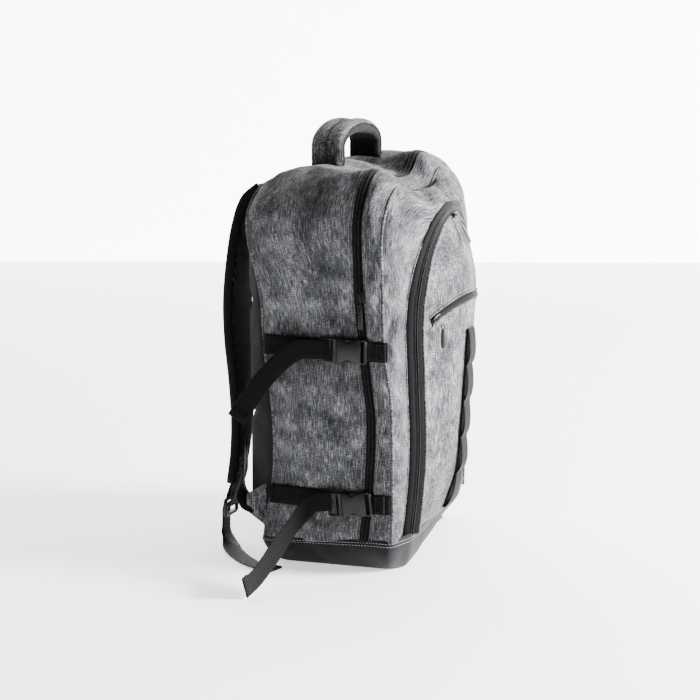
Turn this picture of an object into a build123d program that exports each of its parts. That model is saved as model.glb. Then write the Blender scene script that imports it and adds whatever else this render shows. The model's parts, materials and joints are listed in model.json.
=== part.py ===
# Travel daypack with a clamshell main zip, an arched front pocket flap, four side-release compression
# straps, a padded back with two shoulder straps, and a lateral grab handle.
# Millimetres. Origin at the centre of the flat base, +Z up, -Y the front, +Y the wearer's back, and the
# wearer's left side at -X. Each node is one physical piece and goes to parts/NODE.step.
import os
from math import asin, atan, degrees, hypot

from build123d import *

# Overall form
half_width = 160.0  # half the pack's width
top_height = 510.0  # top panel above the base
top_corner = 70.0  # radius of the top corners seen from the front
back_y = 98.0  # outer face of the back panel
back_drop = 18.0  # fall of the top towards the back edge
back_round = 43.0  # depth over which that fall happens
zip_y = -44.0  # centre of the main zip
corner_y = -88.0  # seam where the side turns to the front
front_drop = 22.0  # fall of the top between main zip and corner seam
cloth = 3.0  # padded cloth wall
gap = 0.4  # clearance between bodies that move apart

# Boot
boot_height = 46.0
boot_wall = 4.0
boot_tuck = 24.0  # how far the front of the base sits back from the boot's top edge
board_thick = 3.0

# Main zip
zip_width = 12.0  # both tapes and the coil
coil_width = 3.0
tape_thick = 1.5

# Front pocket and its flap
front_y = -107.0  # front face of the arched zip
arch_radius = 124.0  # outer edge of the outer tape
arch_below = 34.0  # top of the arched zip below the top of the corner seam
arch_centre = top_height - front_drop - arch_below - arch_radius
arch_coil = 3.2
outer_tape = 9.0
inner_tape = 11.0
crown_y = -137.0  # furthest point of the domed flap
flap_edge = arch_radius - 18.0  # radius of the flap's sewn edge
flap_base = 49.0  # bottom of the flap, just above the boot
dome_radius = arch_radius * 0.726  # radius at which the dome has fallen by dome_fall
dome_fall = 19.0
piping = 1.5  # how far the corner piping stands out

# Chest pocket in the flap
chest_half = flap_edge - 16.0  # half the chest zip's span
chest_top = arch_centre + 10.0  # height of the chest zip at the middle
chest_sag = 23.0  # the ends sit this much lower
chest_tape = 10.0

# Back
pad_depth = 20.0
pad_half = half_width - 13.0
sheet_thick = 2.0
sleeve_gap = 18.0
sleeve_top = 330.0

# Shoulder straps
strap_width = 65.0
strap_thick = 11.0
lining_thick = 2.0
strap_top = top_height - back_drop - 16.0  # height where the straps leave the back
lock_side = 6.5  # side bars of the ladder lock
lock_height = 26.0
lock_thick = 5.0
lock_out = 53.0  # middle of the ladder lock behind the pad's face
lock_top = 64.0
lock_x = -95.0

# Webbing and side-release buckles
web = 25.0
web_thick = 1.6
upper_z = 287.0
lower_z = 93.0
buckle_high = web + 7.0
buckle_thick = 9.0
socket_long = 38.0
frame_long = 22.0
buckle_front = -52.0
buckle_wall = 1.8
prong_long = 21.0

# Grab handle
handle_y = 41.0
handle_width = 43.0
handle_half = 72.0
handle_rise = 31.0  # above its feet's centre
handle_thick = 7.0
grip_thick = 6.0
grip_width = 36.0

# Sliders and pulls
slider_long = 14.0
slider_wide = 9.0
slider_high = 4.5
pull_long = 30.0
pull_wide = 6.0
pull_thick = 2.0
main_slider_z = 355.0

parts = {}


def at_y(y):
    # plane facing the front at depth y: its own x is X and its own y is Z
    return Plane(origin=(0, y, 0), x_dir=(1, 0, 0), z_dir=(0, -1, 0))


def arch(y, half, top, corner, base):
    # a doorway outline with rounded top corners, standing at depth y
    sheet = Pos(0, (top + base) / 2) * Rectangle(2 * half, top - base)
    sheet = fillet(sheet.vertices().group_by(Axis.Y)[-1], corner)
    return at_y(y) * sheet


def slab(y, depth, half, top, corner, base):
    # an arch of even depth, from y towards the front
    return extrude(arch(y, half, top, corner, base), amount=depth)


def solid_through(stations, inset=0.0, base=0.0):
    # loft through (y, half, top, corner) stations, all drawn in by inset
    faces = [arch(y, half - inset, top - inset, corner - inset, base) for y, half, top, corner in stations]
    return loft(faces, ruled=True)


def tunnel(stations, wall, base):
    # open-bottomed hollow wall that follows the stations
    return solid_through(stations, 0, base) - solid_through(stations, wall, base - wall)


def ring(y, depth, outer, inner, base):
    # open-bottomed arched band between two radii about the front arch's centre
    def door(radius, low):
        return slab(y, depth, radius, arch_centre + radius, radius - 1.5, low)

    return door(outer, base) - door(inner, base - 5)


def ribbon(points, across, width, thickness):
    # flat strip through points; across is its width direction, one for all or one for each point
    points = [Vector(*p) for p in points]
    last = len(points) - 1
    sections = []
    for i, point in enumerate(points):
        tangent = (points[min(i + 1, last)] - points[max(i - 1, 0)]).normalized()
        side = Vector(*(across[i] if isinstance(across, list) else across))
        side = (side - tangent * side.dot(tangent)).normalized()
        wide = width[i] if isinstance(width, list) else width
        sections.append(Plane(origin=point, x_dir=side, z_dir=tangent) * Rectangle(wide, thickness))
    strip = loft(sections[:2], ruled=True)
    for start, end in zip(sections[1:], sections[2:]):
        strip += loft([start, end], ruled=True)
    return strip


def block(x, y, z):
    # box from three (low, high) pairs
    size = [high - low for low, high in (x, y, z)]
    centre = [(high + low) / 2 for low, high in (x, y, z)]
    return Pos(*centre) * Box(*size)


def both_sides(name, shape):
    # the piece on the wearer's left, and its mirror image on the right
    parts[name + "_left"] = shape
    parts[name + "_right"] = mirror(shape, about=Plane.YZ)


# Main shell: rear gusset, front gusset and the slanted wall of the front pocket
front_top = top_height - front_drop
zip_back = zip_y + zip_width / 2
zip_front = zip_y - zip_width / 2
piping_back = corner_y + 2
piping_front = corner_y - 2
panel_depth = 5.0
panel_front = back_y - panel_depth
rear_stations = [
    (panel_front, half_width - 2, top_height - back_drop + 2, top_corner - 2),
    (back_y - back_round, half_width, top_height, top_corner),
    (zip_back, half_width, top_height, top_corner),
]
parts["rear_gusset"] = tunnel(rear_stations, cloth, boot_height)
front_stations = [
    (zip_front, half_width, top_height - 2, top_corner),
    (piping_back, half_width - 2, front_top, top_corner - 4),
]
parts["front_gusset"] = tunnel(front_stations, cloth, boot_height)
pocket_stations = [
    (piping_front, half_width - 2, front_top, top_corner - 4),
    (front_y + tape_thick, arch_radius, arch_centre + arch_radius, arch_radius - 1.5),
]
parts["pocket_wall"] = tunnel(pocket_stations, cloth, boot_height)
piping_half = half_width - 2 + piping
piping_out = slab(piping_back, 4, piping_half, front_top + piping, top_corner - 4 + piping, boot_height)
piping_in = slab(
    piping_back, 4, half_width - 2 - cloth, front_top - cloth, top_corner - 4 - cloth, boot_height - 5
)
parts["corner_piping"] = piping_out - piping_in
divider_half = half_width - 2 - cloth - 0.5
divider_top = front_top - cloth - 0.5
divider_corner = top_corner - 4 - cloth - 0.5
parts["pocket_divider"] = slab(piping_back, 1.5, divider_half, divider_top, divider_corner, boot_height)

# Main zip: a tape on each side of the coil, over the whole arch
coil_back = zip_y + coil_width / 2
tape_run = (zip_width - coil_width) / 2


def zip_band(y, depth, inset):
    outer = slab(y, depth, half_width - inset, top_height - inset, top_corner - inset, boot_height)
    lip = inset + tape_thick
    return outer - slab(y, depth, half_width - lip, top_height - lip, top_corner - lip, boot_height - 5)


parts["main_zip_tapes"] = zip_band(zip_back, tape_run, 1.0) + zip_band(coil_back - coil_width, tape_run, 2.0)
parts["main_zip_coil"] = zip_band(coil_back, coil_width, 0.6)

# Boot: a tub with a tucked-under front, and the board that stiffens it
boot_front = front_y - 5
boot_side = arch_radius - 6


def boot_solid(inset, floor):
    def ground(z, front_corner, front_edge, narrow):
        half = half_width - inset - narrow
        points = [
            (half, back_y - inset),
            (half, front_corner + inset),
            (boot_side - inset, front_edge + inset),
            (-boot_side + inset, front_edge + inset),
            (-half, front_corner + inset),
            (-half, back_y - inset),
        ]
        return Plane.XY.offset(z) * make_face(Polyline(*points, close=True))

    low = ground(floor, corner_y + 4, boot_front + boot_tuck, 3)
    high = ground(boot_height, corner_y, boot_front, 0)
    return loft([low, high], ruled=True)


parts["base_boot"] = boot_solid(0, 0) - boot_solid(boot_wall, boot_wall)
board_half = half_width - boot_wall - 8
board_y = (corner_y + boot_wall + 10, back_y - boot_wall - 3)
parts["base_board"] = block((-board_half, board_half), board_y, (boot_wall, boot_wall + board_thick))

# Back: panel, stiffening sheet, spacer-mesh pad and the sleeve for a computer
panel_top = top_height - back_drop
parts["back_panel"] = slab(back_y, panel_depth, half_width - 2, panel_top + 2, top_corner - 2, boot_height)
sheet_half = half_width - 2 - cloth - 6
parts["frame_sheet"] = slab(panel_front, sheet_thick, sheet_half, panel_top - 14, top_corner - 8, boot_height + 4)
pad_stations = [
    (back_y + pad_depth, pad_half - 22, panel_top - 22, top_corner - 12),
    (back_y + pad_depth * 0.7, pad_half - 8, panel_top - 10, top_corner - 8),
    (back_y, pad_half, panel_top - 2, top_corner - 6),
]
pad_body = solid_through(pad_stations, 0, boot_height + 6)
parts["back_pad"] = pad_body - block((-9, 9), (back_y + 8, back_y + pad_depth + 1), (boot_height, panel_top))
sleeve_back = panel_front - sheet_thick
sleeve_front = sleeve_back - sleeve_gap - cloth
sleeve_half = sheet_half - 14
sleeve = block((-sleeve_half, sleeve_half), (sleeve_front, sleeve_back), (boot_height + 4, sleeve_top))
parts["laptop_sleeve"] = sleeve - block(
    (-sleeve_half + cloth, sleeve_half - cloth),
    (sleeve_front + cloth, sleeve_back + 1),
    (boot_height + 4 + cloth, sleeve_top + 1),
)

# Front pocket zip: outer tape on the pocket wall, inner tape and coil on the flap
coil_outer = arch_radius - outer_tape
coil_inner = coil_outer - arch_coil
tape_back = front_y + tape_thick
zip_base = flap_base - 1
parts["front_zip_outer"] = ring(tape_back, tape_thick, arch_radius, coil_outer + gap, boot_height)
flap_tape = ring(tape_back, tape_thick, coil_inner, coil_inner - inner_tape, zip_base)
flap_coil = ring(tape_back, tape_thick + 0.8, coil_outer, coil_inner, zip_base)
parts["front_zip_inner"] = flap_tape + flap_coil


# Flap: a dome of concentric arches
def dome_y(radius):
    return crown_y + dome_fall * (radius / dome_radius) ** 2


def dome_station(radius, drop):
    low = flap_base + 0.62 * (flap_edge - radius)
    centre_y = dome_y(radius) if radius < flap_edge else front_y
    return arch(centre_y + drop, radius, arch_centre + radius, radius - 1.5, low)


dome_radii = [flap_edge * share for share in (1, 0.972, 0.85, 0.66, 0.443, 0.226)]
dome_out = loft([dome_station(r, 0) for r in dome_radii], ruled=True)


def inner_dome(radius):
    low = flap_base + cloth + 0.62 * (flap_edge - radius)
    reach = radius - cloth
    return arch(dome_y(radius) + cloth, reach, arch_centre + reach, reach - 1.5, low)


dome_core = loft([inner_dome(r) for r in dome_radii[1:]], ruled=True)
mouth = flap_edge - 2 * cloth
core_mouth = arch(front_y, mouth, arch_centre + mouth, mouth - 2, flap_base + cloth)
dome_shell = dome_out - dome_core - extrude(core_mouth, amount=cloth + 2)

# Chest zip: its run is a circle in a plane tilted to lie on the dome
chest_end_y = dome_y(hypot(chest_half, chest_top - chest_sag - arch_centre))
chest_mid_y = dome_y(chest_top - arch_centre)
chest_rise = Vector(0, chest_mid_y - chest_end_y, chest_sag)
chest_radius = (chest_half**2 + chest_rise.length**2) / (2 * chest_rise.length)
chest_up = chest_rise.normalized()
chest_axis_dir = Vector(1, 0, 0).cross(chest_up)
chest_centre = Vector(0, chest_mid_y, chest_top) - chest_up * chest_radius
chest_axis = Axis(chest_centre, chest_axis_dir)
chest_sweep = degrees(asin(chest_half / chest_radius))
flat_radius = (chest_half**2 + chest_sag**2) / (2 * chest_sag)
flat_centre = chest_top - flat_radius


def chest_band(width):
    # region of the front face under the chest zip, as a prism along Y
    reach = 60.0
    face = Circle(flat_radius + width / 2) - Circle(flat_radius - width / 2)
    face &= Pos(0, flat_radius) * Rectangle(2 * chest_half, 2 * flat_radius)
    face = Pos(0, flat_centre) * face
    keep = Pos(0, chest_top - 20) * Rectangle(2 * chest_half, 90)
    return extrude(at_y(front_y + 1) * (face & keep), amount=reach)


parts["flap_panel"] = dome_shell - chest_band(chest_tape)
parts["chest_zip"] = dome_shell & chest_band(chest_tape - 0.1)
bag_half = flap_edge - 2 * cloth - 2
parts["chest_pocket_bag"] = slab(front_y - 0.6, 1.2, bag_half, chest_top + 8, 20, flap_base + 2 * cloth)

# Daisy chain on the flap: a backing strip and raised loops between bartacks
daisy_top = chest_top - 43.0  # clear of the chest pull's sweep
daisy_base = 56.0
loop_count = 5
loop_pitch = (daisy_top - daisy_base) / loop_count
loop_rise = 9.0
daisy_y = dome_y(0) - gap - 0.4


def chain_loop(i):
    # one loop of webbing that stands off the flap between two bartacks
    low = daisy_base + i * loop_pitch + 3
    high = low + loop_pitch - 6
    outer = [(0, low), (-loop_rise, low + 9), (-loop_rise, high - 9), (0, high)]
    inner = [(0, low + 4), (-loop_rise + 2, low + 10), (-loop_rise + 2, high - 10), (0, high - 4)]
    profile = make_face(Polyline(*outer, close=True)) - make_face(Polyline(*inner, close=True))
    plane = Plane(origin=(-web / 2, daisy_y - web_thick, 0), x_dir=(0, 1, 0), z_dir=(1, 0, 0))
    return extrude(plane * profile, amount=web)


chain = block((-web / 2, web / 2), (daisy_y - web_thick, daisy_y), (daisy_base, daisy_top))
for i in range(loop_count):
    chain += chain_loop(i)
parts["daisy_chain"] = chain


# Side-release buckles, their anchors, webbing and loose tails
web_face = -half_width - 0.4  # inner face of the webbing on the left side
buckle_x = (web_face - 0.4 - buckle_thick, web_face - 0.4)
socket_back = buckle_front + socket_long
frame_back = socket_back + frame_long


def socket(z):
    # female half: flat shell, open towards the back, with a window over each prong
    half = buckle_high / 2
    body = block(buckle_x, (buckle_front, socket_back), (z - half, z + half))
    body = fillet(body.edges().filter_by(Axis.Y), 2.5)
    room_x = (buckle_x[0] + buckle_wall, buckle_x[1] - buckle_wall)
    room_z = (z - half + 2.6, z + half - 2.6)
    room = block(room_x, (socket_back - prong_long - 2, socket_back + 1), room_z)
    window = block(room_x, (socket_back - prong_long, socket_back - 8), (z - half - 1, z + half + 1))
    middle = (buckle_x[0] + buckle_x[1]) / 2
    slot = block((middle - 10, middle + 10), (buckle_front + 3, buckle_front + 6.5), (z - web / 2, z + web / 2))
    return body - room - window - slot


def plug(z):
    # male half: ladder frame with two webbing slots, two side prongs and a guide between them
    half = buckle_high / 2
    body = block(buckle_x, (socket_back + gap, frame_back), (z - half, z + half))
    body = fillet(body.edges().filter_by(Axis.X), 2.5)
    middle = (buckle_x[0] + buckle_x[1]) / 2
    for start in (socket_back + 8, socket_back + 14.5):
        body -= block((middle - 10, middle + 10), (start, start + 3.6), (z - web / 2 - 0.5, z + web / 2 + 0.5))
    arm_x = (buckle_x[0] + buckle_wall + gap, buckle_x[1] - buckle_wall - gap)
    arm_y = (socket_back - prong_long + gap, socket_back + 2)
    arm = 4.0
    arm_out = half - buckle_wall - 1.6 - arm / 2
    for middle_z in (z - arm_out, z, z + arm_out):
        body += block(arm_x, arm_y, (middle_z - arm / 2, middle_z + arm / 2))
    return body


def strap_strip(z, start, end):
    return block((web_face - web_thick, web_face), (start, end), (z - web / 2, z + web / 2))


tail_x = buckle_x[0] - web_thick
tail_root = frame_back + 3
upper_tail = [
    (tail_x, tail_root, 288),
    (tail_x - 5, 40, 284),
    (tail_x - 10, 75, 253),
    (tail_x - 15, 97, 222),
    (tail_x - 20, 115, 194),
]
lower_tail = [
    (tail_x, tail_root, 92),
    (tail_x - 2, 19, 90),
    (tail_x - 17, 31, 72),
    (tail_x - 45, 40, 51),
    (tail_x - 70, 46, 33),
    (tail_x - 103, 49, 18),
    (tail_x - 136, 50, 13.5),
]
tail_across = {"upper": (0, 0.2, 0.98), "lower": [(0, 0, 1), (0, 0.1, 0.99)] + [(0, 0.2, 0.97)] * 5}
for level, height, route in (("upper", upper_z, upper_tail), ("lower", lower_z, lower_tail)):
    both_sides("buckle_socket_" + level, socket(height))
    both_sides("buckle_plug_" + level, plug(height))
    both_sides("compression_web_" + level, strap_strip(height, frame_back, back_y - 2))
    both_sides("web_tail_" + level, ribbon(route, tail_across[level], web, web_thick))
anchors = []
for height in (upper_z, lower_z):
    strip = strap_strip(height, piping_back, buckle_front)
    anchors += [strip, mirror(strip, about=Plane.YZ)]
parts["anchor_webbing"] = Compound(anchors)

# Shoulder straps: padded strap, mesh lining, end loop, ladder lock and its webbing
# each spot is its X, how far it stands behind the pad's face, and how far down the strap it is
strap_spots = [
    (-70, 9, 0),
    (-71, 24, 0.036),
    (-74, 35, 0.112),
    (-78, 42, 0.232),
    (-79, 47, 0.367),
    (-80, 46, 0.5),
    (-81, 42, 0.638),
    (-84, 40, 0.773),
    (-88, 42, 0.895),
    (-92, 48, 1),
]
pad_face = back_y + pad_depth
strap_end = lock_top + 20
lock_y = pad_face + lock_out
strap_route = [(x, pad_face + out, strap_top + (strap_end - strap_top) * down) for x, out, down in strap_spots]
strap_widths = [strap_width] * 7 + [strap_width - 6, strap_width - 16, strap_width - 29]
across_x = (1, 0, 0)
both_sides("strap_pad", ribbon(strap_route, across_x, strap_widths, strap_thick))
lining_shift = (strap_thick + lining_thick) / 2
lining_route = []
for i in range(2, len(strap_route) - 1):
    before = Vector(*strap_route[i - 1])
    after = Vector(*strap_route[i + 1])
    run = (after - before).normalized()
    inward = Vector(1, 0, 0).cross(run).normalized()
    inward = inward if inward.Y < 0 else inward * -1
    spot = Vector(*strap_route[i]) + inward * (lining_shift + 0.3)
    lining_route.append((spot.X, spot.Y, spot.Z))
lining_widths = [w - 10 for w in strap_widths[2:-1]]
both_sides("strap_lining", ribbon(lining_route, across_x, lining_widths, lining_thick))
loop_start = (-92.2, lock_y - 4.7, strap_end - 1.6)
loop_points = [loop_start, (-94, lock_y - 2, lock_top + 10), (lock_x, lock_y, lock_top + 8 * gap)]
both_sides("strap_end_loop", ribbon(loop_points, across_x, web, web_thick * 2))


def ladder_lock():
    # flat frame with two slots, hung from the strap's end loop
    half = web / 2 + lock_side
    y = (lock_y - lock_thick / 2, lock_y + lock_thick / 2)
    frame = block((lock_x - half, lock_x + half), y, (lock_top - lock_height, lock_top))
    frame = fillet(frame.edges().filter_by(Axis.Y), 3)
    for low, high in ((lock_top - 9, lock_top - 4), (lock_top - 21, lock_top - 14)):
        frame -= block((lock_x - web / 2 - 1, lock_x + web / 2 + 1), (y[0] - 1, y[1] + 1), (low, high))
    return frame


both_sides("ladder_lock", ladder_lock())
tab_x = (-half_width + 4, -half_width + 7)
tab_low = 48.0
tab_high = 103.0
tab_tip = (back_y + 23.0, 74.0)
tab_face = make_face(Polyline((back_y, tab_low), tab_tip, (back_y, tab_high), close=True))
tab_plane = Plane(origin=(tab_x[0], 0, 0), x_dir=(0, 1, 0), z_dir=(1, 0, 0))
both_sides("strap_tab", extrude(tab_plane * tab_face, amount=tab_x[1] - tab_x[0]))
adjuster_start = (tab_x[1] + 12, tab_tip[0] + 7, tab_tip[1] + 4)
adjuster = [
    adjuster_start,
    (tab_x[1] + 22, tab_tip[0] + 12, tab_tip[1] + 30),
    (lock_x - 13 - 0.44 * web, pad_face + 25 - 0.2 * web, lock_top + 59),
    (lock_x - 13, pad_face + 25, lock_top + 58),
    (lock_x - 5, pad_face + 29, lock_top + 38),
    (lock_x - 1, lock_y - 12, lock_top + 6),
]
adjuster_turn = [(0.64, -0.77, 0)] * 2 + [(0.8, -0.6, 0), (0.95, -0.3, 0), (1, 0, 0), (1, 0, 0)]
both_sides("adjuster_webbing", ribbon(adjuster, adjuster_turn, web, web_thick))
tail_start_y = lock_y + lock_thick / 2 + 1.2
adjuster_tail = [
    (lock_x, tail_start_y, lock_top - 8),
    (lock_x, tail_start_y + 3, 34),
    (lock_x - 3, tail_start_y + 1, 15),
    (lock_x - 13, tail_start_y - 10, 4.5),
    (-half_width + 29, back_y + 54, 2.2),
    (-half_width + 2, back_y + 29, 2.2),
    (-half_width - 20, back_y - 1, 2.2),
    (-half_width - 30, back_y - 38, 2.2),
]
tail_turn = [(1, 0, 0), (1, 0, 0), (1, -0.1, 0), (0.9, -0.4, 0)] + [(0.8, -0.6, 0)] * 3 + [(1, -0.3, 0)]
both_sides("adjuster_tail", ribbon(adjuster_tail, tail_turn, web, web_thick))

# Grab handle: an arched cover with half-round feet, and the softer grip inside it
foot_radius = handle_width / 2
foot_z = top_height + foot_radius + gap
handle_top = foot_z + handle_rise


def handle_arch(half, rise, width):
    # solid arch across the pack, flat-sided below foot_z
    face = Pos(0, foot_z) * Ellipse(half, rise) + Pos(0, foot_z - foot_radius) * Rectangle(2 * half, 2 * foot_radius)
    return extrude(at_y(handle_y + width / 2) * face, amount=width)


def foot_limit(width):
    # what the feet may fill: everything above their centre and a half disc below it
    reach = half_width
    disc = Plane.YZ.offset(-reach) * (Pos(handle_y, foot_z) * Circle(foot_radius))
    above = block((-reach, reach), (handle_y - width, handle_y + width), (foot_z, foot_z + 2 * handle_rise))
    return extrude(disc, amount=2 * reach) + above


cover = handle_arch(handle_half, handle_rise, handle_width)
cover -= handle_arch(handle_half - handle_thick, handle_rise - handle_thick, handle_width + 2)
parts["handle_cover"] = cover & foot_limit(handle_width)
grip_out = handle_thick + 0.1
grip = handle_arch(handle_half - grip_out, handle_rise - grip_out, grip_width)
grip_in = grip_out + grip_thick
grip -= handle_arch(handle_half - grip_in, handle_rise - grip_in, grip_width + 2)
parts["handle_grip"] = grip & block((-handle_half, handle_half), (0, 100), (foot_z - 12, handle_top))


# Zip sliders and their pulls
def slider_body():
    # slider lying in the XZ plane, zip along X, top facing -Y, with a bridge for the pull
    plate = Pos(0, -slider_high / 4, 0) * Box(slider_long, slider_high / 2, slider_wide)
    plate = fillet(plate.edges().filter_by(Axis.Y), 2)
    bridge = Pos(0, -slider_high * 0.72, 0) * Box(slider_long - 4, slider_high * 0.5, 2.4)
    return plate + bridge


def pull_tab():
    # pull hanging down in the XZ plane from its eye at the origin
    face = Pos(0, -pull_long / 2 - 1) * Rectangle(pull_wide, pull_long)
    face = fillet(face.vertices(), 2) - Pos(0, -4) * Circle(1.4)
    return extrude(Plane(origin=(0, 0, 0), x_dir=(1, 0, 0), z_dir=(0, -1, 0)) * face, amount=pull_thick)


slider_x = -half_width - gap
to_left = Rot(0, 0, -90)  # turns a slider that faces the front to face the left
main_slider = Pos(slider_x, zip_y, main_slider_z) * to_left * Rot(0, 90, 0) * slider_body()
both_sides("main_slider", main_slider)
pull_drop = 1.5  # the pull's end hangs this far below its slider
main_eye_z = main_slider_z - slider_long / 2 - pull_drop
main_pull = Pos(slider_x - slider_high - gap, zip_y, main_eye_z) * to_left * pull_tab()
both_sides("main_pull", main_pull)

track = coil_outer - arch_coil / 2
front_slider_y = front_y - 0.8 - gap
parts["front_slider"] = Pos(0, front_slider_y, arch_centre + track) * slider_body()
front_eye_z = arch_centre + track - slider_wide / 2 - pull_drop
front_eye_y = front_slider_y - slider_high - 1.8  # room for the pull's eye to turn
front_tilt = degrees(atan(1.8 * dome_fall / dome_radius)) + 2  # lies on the swell of the flap
parts["front_pull"] = Pos(0, front_eye_y, front_eye_z) * Rot(-front_tilt, 0, 0) * pull_tab()

chest_lift = 1.6 + gap  # clearance of the slider's underside from the domed cloth
chest_start = chest_sweep - 4  # rest place, at the wearer's left end of the zip
chest_slider = Pos(0, chest_mid_y - chest_lift, chest_top) * slider_body()
parts["chest_slider"] = chest_slider.rotate(chest_axis, chest_start)
eye = Vertex(0, chest_mid_y - chest_lift - slider_high - gap, chest_top).rotate(chest_axis, chest_start).center()
chest_hang = Vector(0, 4, -slider_long / 2 - pull_drop)
parts["chest_pull"] = Pos(eye + chest_hang) * Rot(-4, 0, 0) * pull_tab()

os.makedirs("parts", exist_ok=True)
for node, shape in parts.items():
    export_step(shape, f"parts/{node}.step")
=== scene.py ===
import json
import math

import bmesh
import bpy
from mathutils import Matrix, Vector, noise
from mathutils.bvhtree import BVHTree


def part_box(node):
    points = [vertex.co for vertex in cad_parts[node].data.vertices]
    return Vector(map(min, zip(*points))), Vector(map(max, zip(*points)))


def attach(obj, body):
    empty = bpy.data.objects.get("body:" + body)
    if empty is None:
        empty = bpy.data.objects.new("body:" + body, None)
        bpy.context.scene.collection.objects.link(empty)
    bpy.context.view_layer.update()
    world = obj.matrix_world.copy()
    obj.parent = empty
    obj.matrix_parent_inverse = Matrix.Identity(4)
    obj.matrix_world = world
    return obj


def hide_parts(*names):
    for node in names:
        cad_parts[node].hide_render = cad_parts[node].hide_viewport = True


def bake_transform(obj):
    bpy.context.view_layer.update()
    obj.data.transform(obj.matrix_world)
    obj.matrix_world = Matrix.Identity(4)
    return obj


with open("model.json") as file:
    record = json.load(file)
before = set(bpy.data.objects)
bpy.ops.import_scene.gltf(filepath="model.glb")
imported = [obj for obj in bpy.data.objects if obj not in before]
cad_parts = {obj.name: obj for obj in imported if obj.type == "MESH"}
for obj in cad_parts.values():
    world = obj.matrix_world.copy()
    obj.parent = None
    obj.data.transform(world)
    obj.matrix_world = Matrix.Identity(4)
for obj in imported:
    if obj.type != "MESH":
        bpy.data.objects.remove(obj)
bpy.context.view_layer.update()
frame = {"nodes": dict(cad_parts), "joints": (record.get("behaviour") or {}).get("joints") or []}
mm = 0.001  # shapes below are written in millimetres
inside = (0, 0, 240)  # a point within the pack, for turning faces outwards
behindFront = (0, 60, 240)


# ---- curves ----
def along(knots, x):
    # smooth value at x through (x, value) knots
    if x <= knots[0][0]:
        return knots[0][1]
    if x >= knots[-1][0]:
        return knots[-1][1]
    i = next(k for k in range(len(knots) - 1) if x <= knots[k + 1][0])
    (x0, y0), (x1, y1) = knots[i], knots[i + 1]
    here = (y1 - y0) / (x1 - x0)
    before = (y1 - knots[i - 1][1]) / (x1 - knots[i - 1][0]) if i else here
    after = (knots[i + 2][1] - y0) / (knots[i + 2][0] - x0) if i + 2 < len(knots) else here
    h = x1 - x0
    t = (x - x0) / h
    start = (2 * t**3 - 3 * t**2 + 1) * y0 + (t**3 - 2 * t**2 + t) * h * before
    return start + (3 * t**2 - 2 * t**3) * y1 + (t**3 - t**2) * h * after


def smoothPath(points, step):
    # the same path with a point about every step millimetres
    knots = [0.0]
    for a, b in zip(points, points[1:]):
        knots.append(knots[-1] + (Vector(b) - Vector(a)).length)
    axes = [[(s, p[k]) for s, p in zip(knots, points)] for k in range(3)]
    count = max(2, round(knots[-1] / step))
    return [Vector([along(axis, knots[-1] * i / count) for axis in axes]) for i in range(count + 1)]


def bell(x, middle, width):
    return math.exp(-(((x - middle) / width) ** 2))


def mix(a, b, t):
    return a + (b - a) * t


def archPoint(half, top, corner, base, t):
    # point and outward direction on a doorway outline, t from the left foot to the right foot
    side = top - corner - base
    bend = corner * math.pi / 2
    whole = 2 * (side + bend) + 2 * (half - corner)
    s = min(t, 1 - t) * whole
    if s < side:
        x, z, nx, nz = -half, base + s, -1.0, 0.0
    elif s < side + bend:
        nx, nz = -math.cos((s - side) / corner), math.sin((s - side) / corner)
        x, z = corner - half + corner * nx, top - corner + corner * nz
    else:
        x, z, nx, nz = corner - half + s - side - bend, top, 0.0, 1.0
    flip = 1 if t <= 0.5 else -1
    return flip * x, z, flip * nx, nz


# ---- meshes ----
def keep(name, mesh, sharp=None):
    # a finished mesh as an object, shaded smooth except at edges sharper than sharp degrees
    data = bpy.data.meshes.new(name)
    mesh.to_mesh(data)
    mesh.free()
    data.polygons.foreach_set("use_smooth", [True] * len(data.polygons))
    if sharp:
        data.set_sharp_from_angle(angle=math.radians(sharp))
    obj = bpy.data.objects.new(name, data)
    bpy.context.scene.collection.objects.link(obj)
    return obj


def quilt(name, rows, wrap=False, caps=False, merge=0.0, away=None, sharp=None):
    # cloth cut as a grid: each row is extruded from the one before; the UV map is in metres
    mesh = bmesh.new()
    layer = mesh.loops.layers.uv.new("cut")
    rows = [[Vector(p) for p in row] for row in rows]
    count = len(rows[0])
    line = [mesh.verts.new(p * mm) for p in rows[0]]
    pairs = list(zip(line, line[1:])) + ([(line[-1], line[0])] if wrap else [])
    edges = [mesh.edges.new(pair) for pair in pairs]
    spot = {}
    across = [0.0] * count
    total = 1.0
    for r, row in enumerate(rows):
        if r:
            made = bmesh.ops.extrude_edge_only(mesh, edges=edges)["geom"]
            fresh = {v for v in made if isinstance(v, bmesh.types.BMVert)}
            line = [next(e.other_vert(v) for e in v.link_edges if e.other_vert(v) in fresh) for v in line]
            edges = [
                e for e in made
                if isinstance(e, bmesh.types.BMEdge) and e.verts[0] in fresh and e.verts[1] in fresh
            ]
            across = [a + (p - q).length for a, p, q in zip(across, row, rows[r - 1])]
        run = 0.0
        for c, (v, p) in enumerate(zip(line, row)):
            v.co = p * mm
            if c:
                run += (p - row[c - 1]).length
            spot[v] = (c, run * mm, across[c] * mm)
        if r == len(rows) // 2:
            total = (run + (row[0] - row[-1]).length) * mm
    for face in mesh.faces:
        columns = [spot[loop.vert][0] for loop in face.loops]
        split = wrap and max(columns) - min(columns) > 1
        for loop in face.loops:
            c, u, v = spot[loop.vert]
            loop[layer].uv = (u + (total if split and c == 0 else 0), v)
    if caps:
        bmesh.ops.holes_fill(mesh, edges=[e for e in mesh.edges if e.is_boundary], sides=0)
    if merge:
        bmesh.ops.remove_doubles(mesh, verts=mesh.verts, dist=merge * mm)
    bmesh.ops.recalc_face_normals(mesh, faces=mesh.faces)
    if away is not None:
        centre = Vector(away) * mm
        if sum((f.calc_center_median() - centre).dot(f.normal) * f.calc_area() for f in mesh.faces) < 0:
            bmesh.ops.reverse_faces(mesh, faces=mesh.faces)
    return keep(name, mesh, sharp=sharp)


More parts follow.
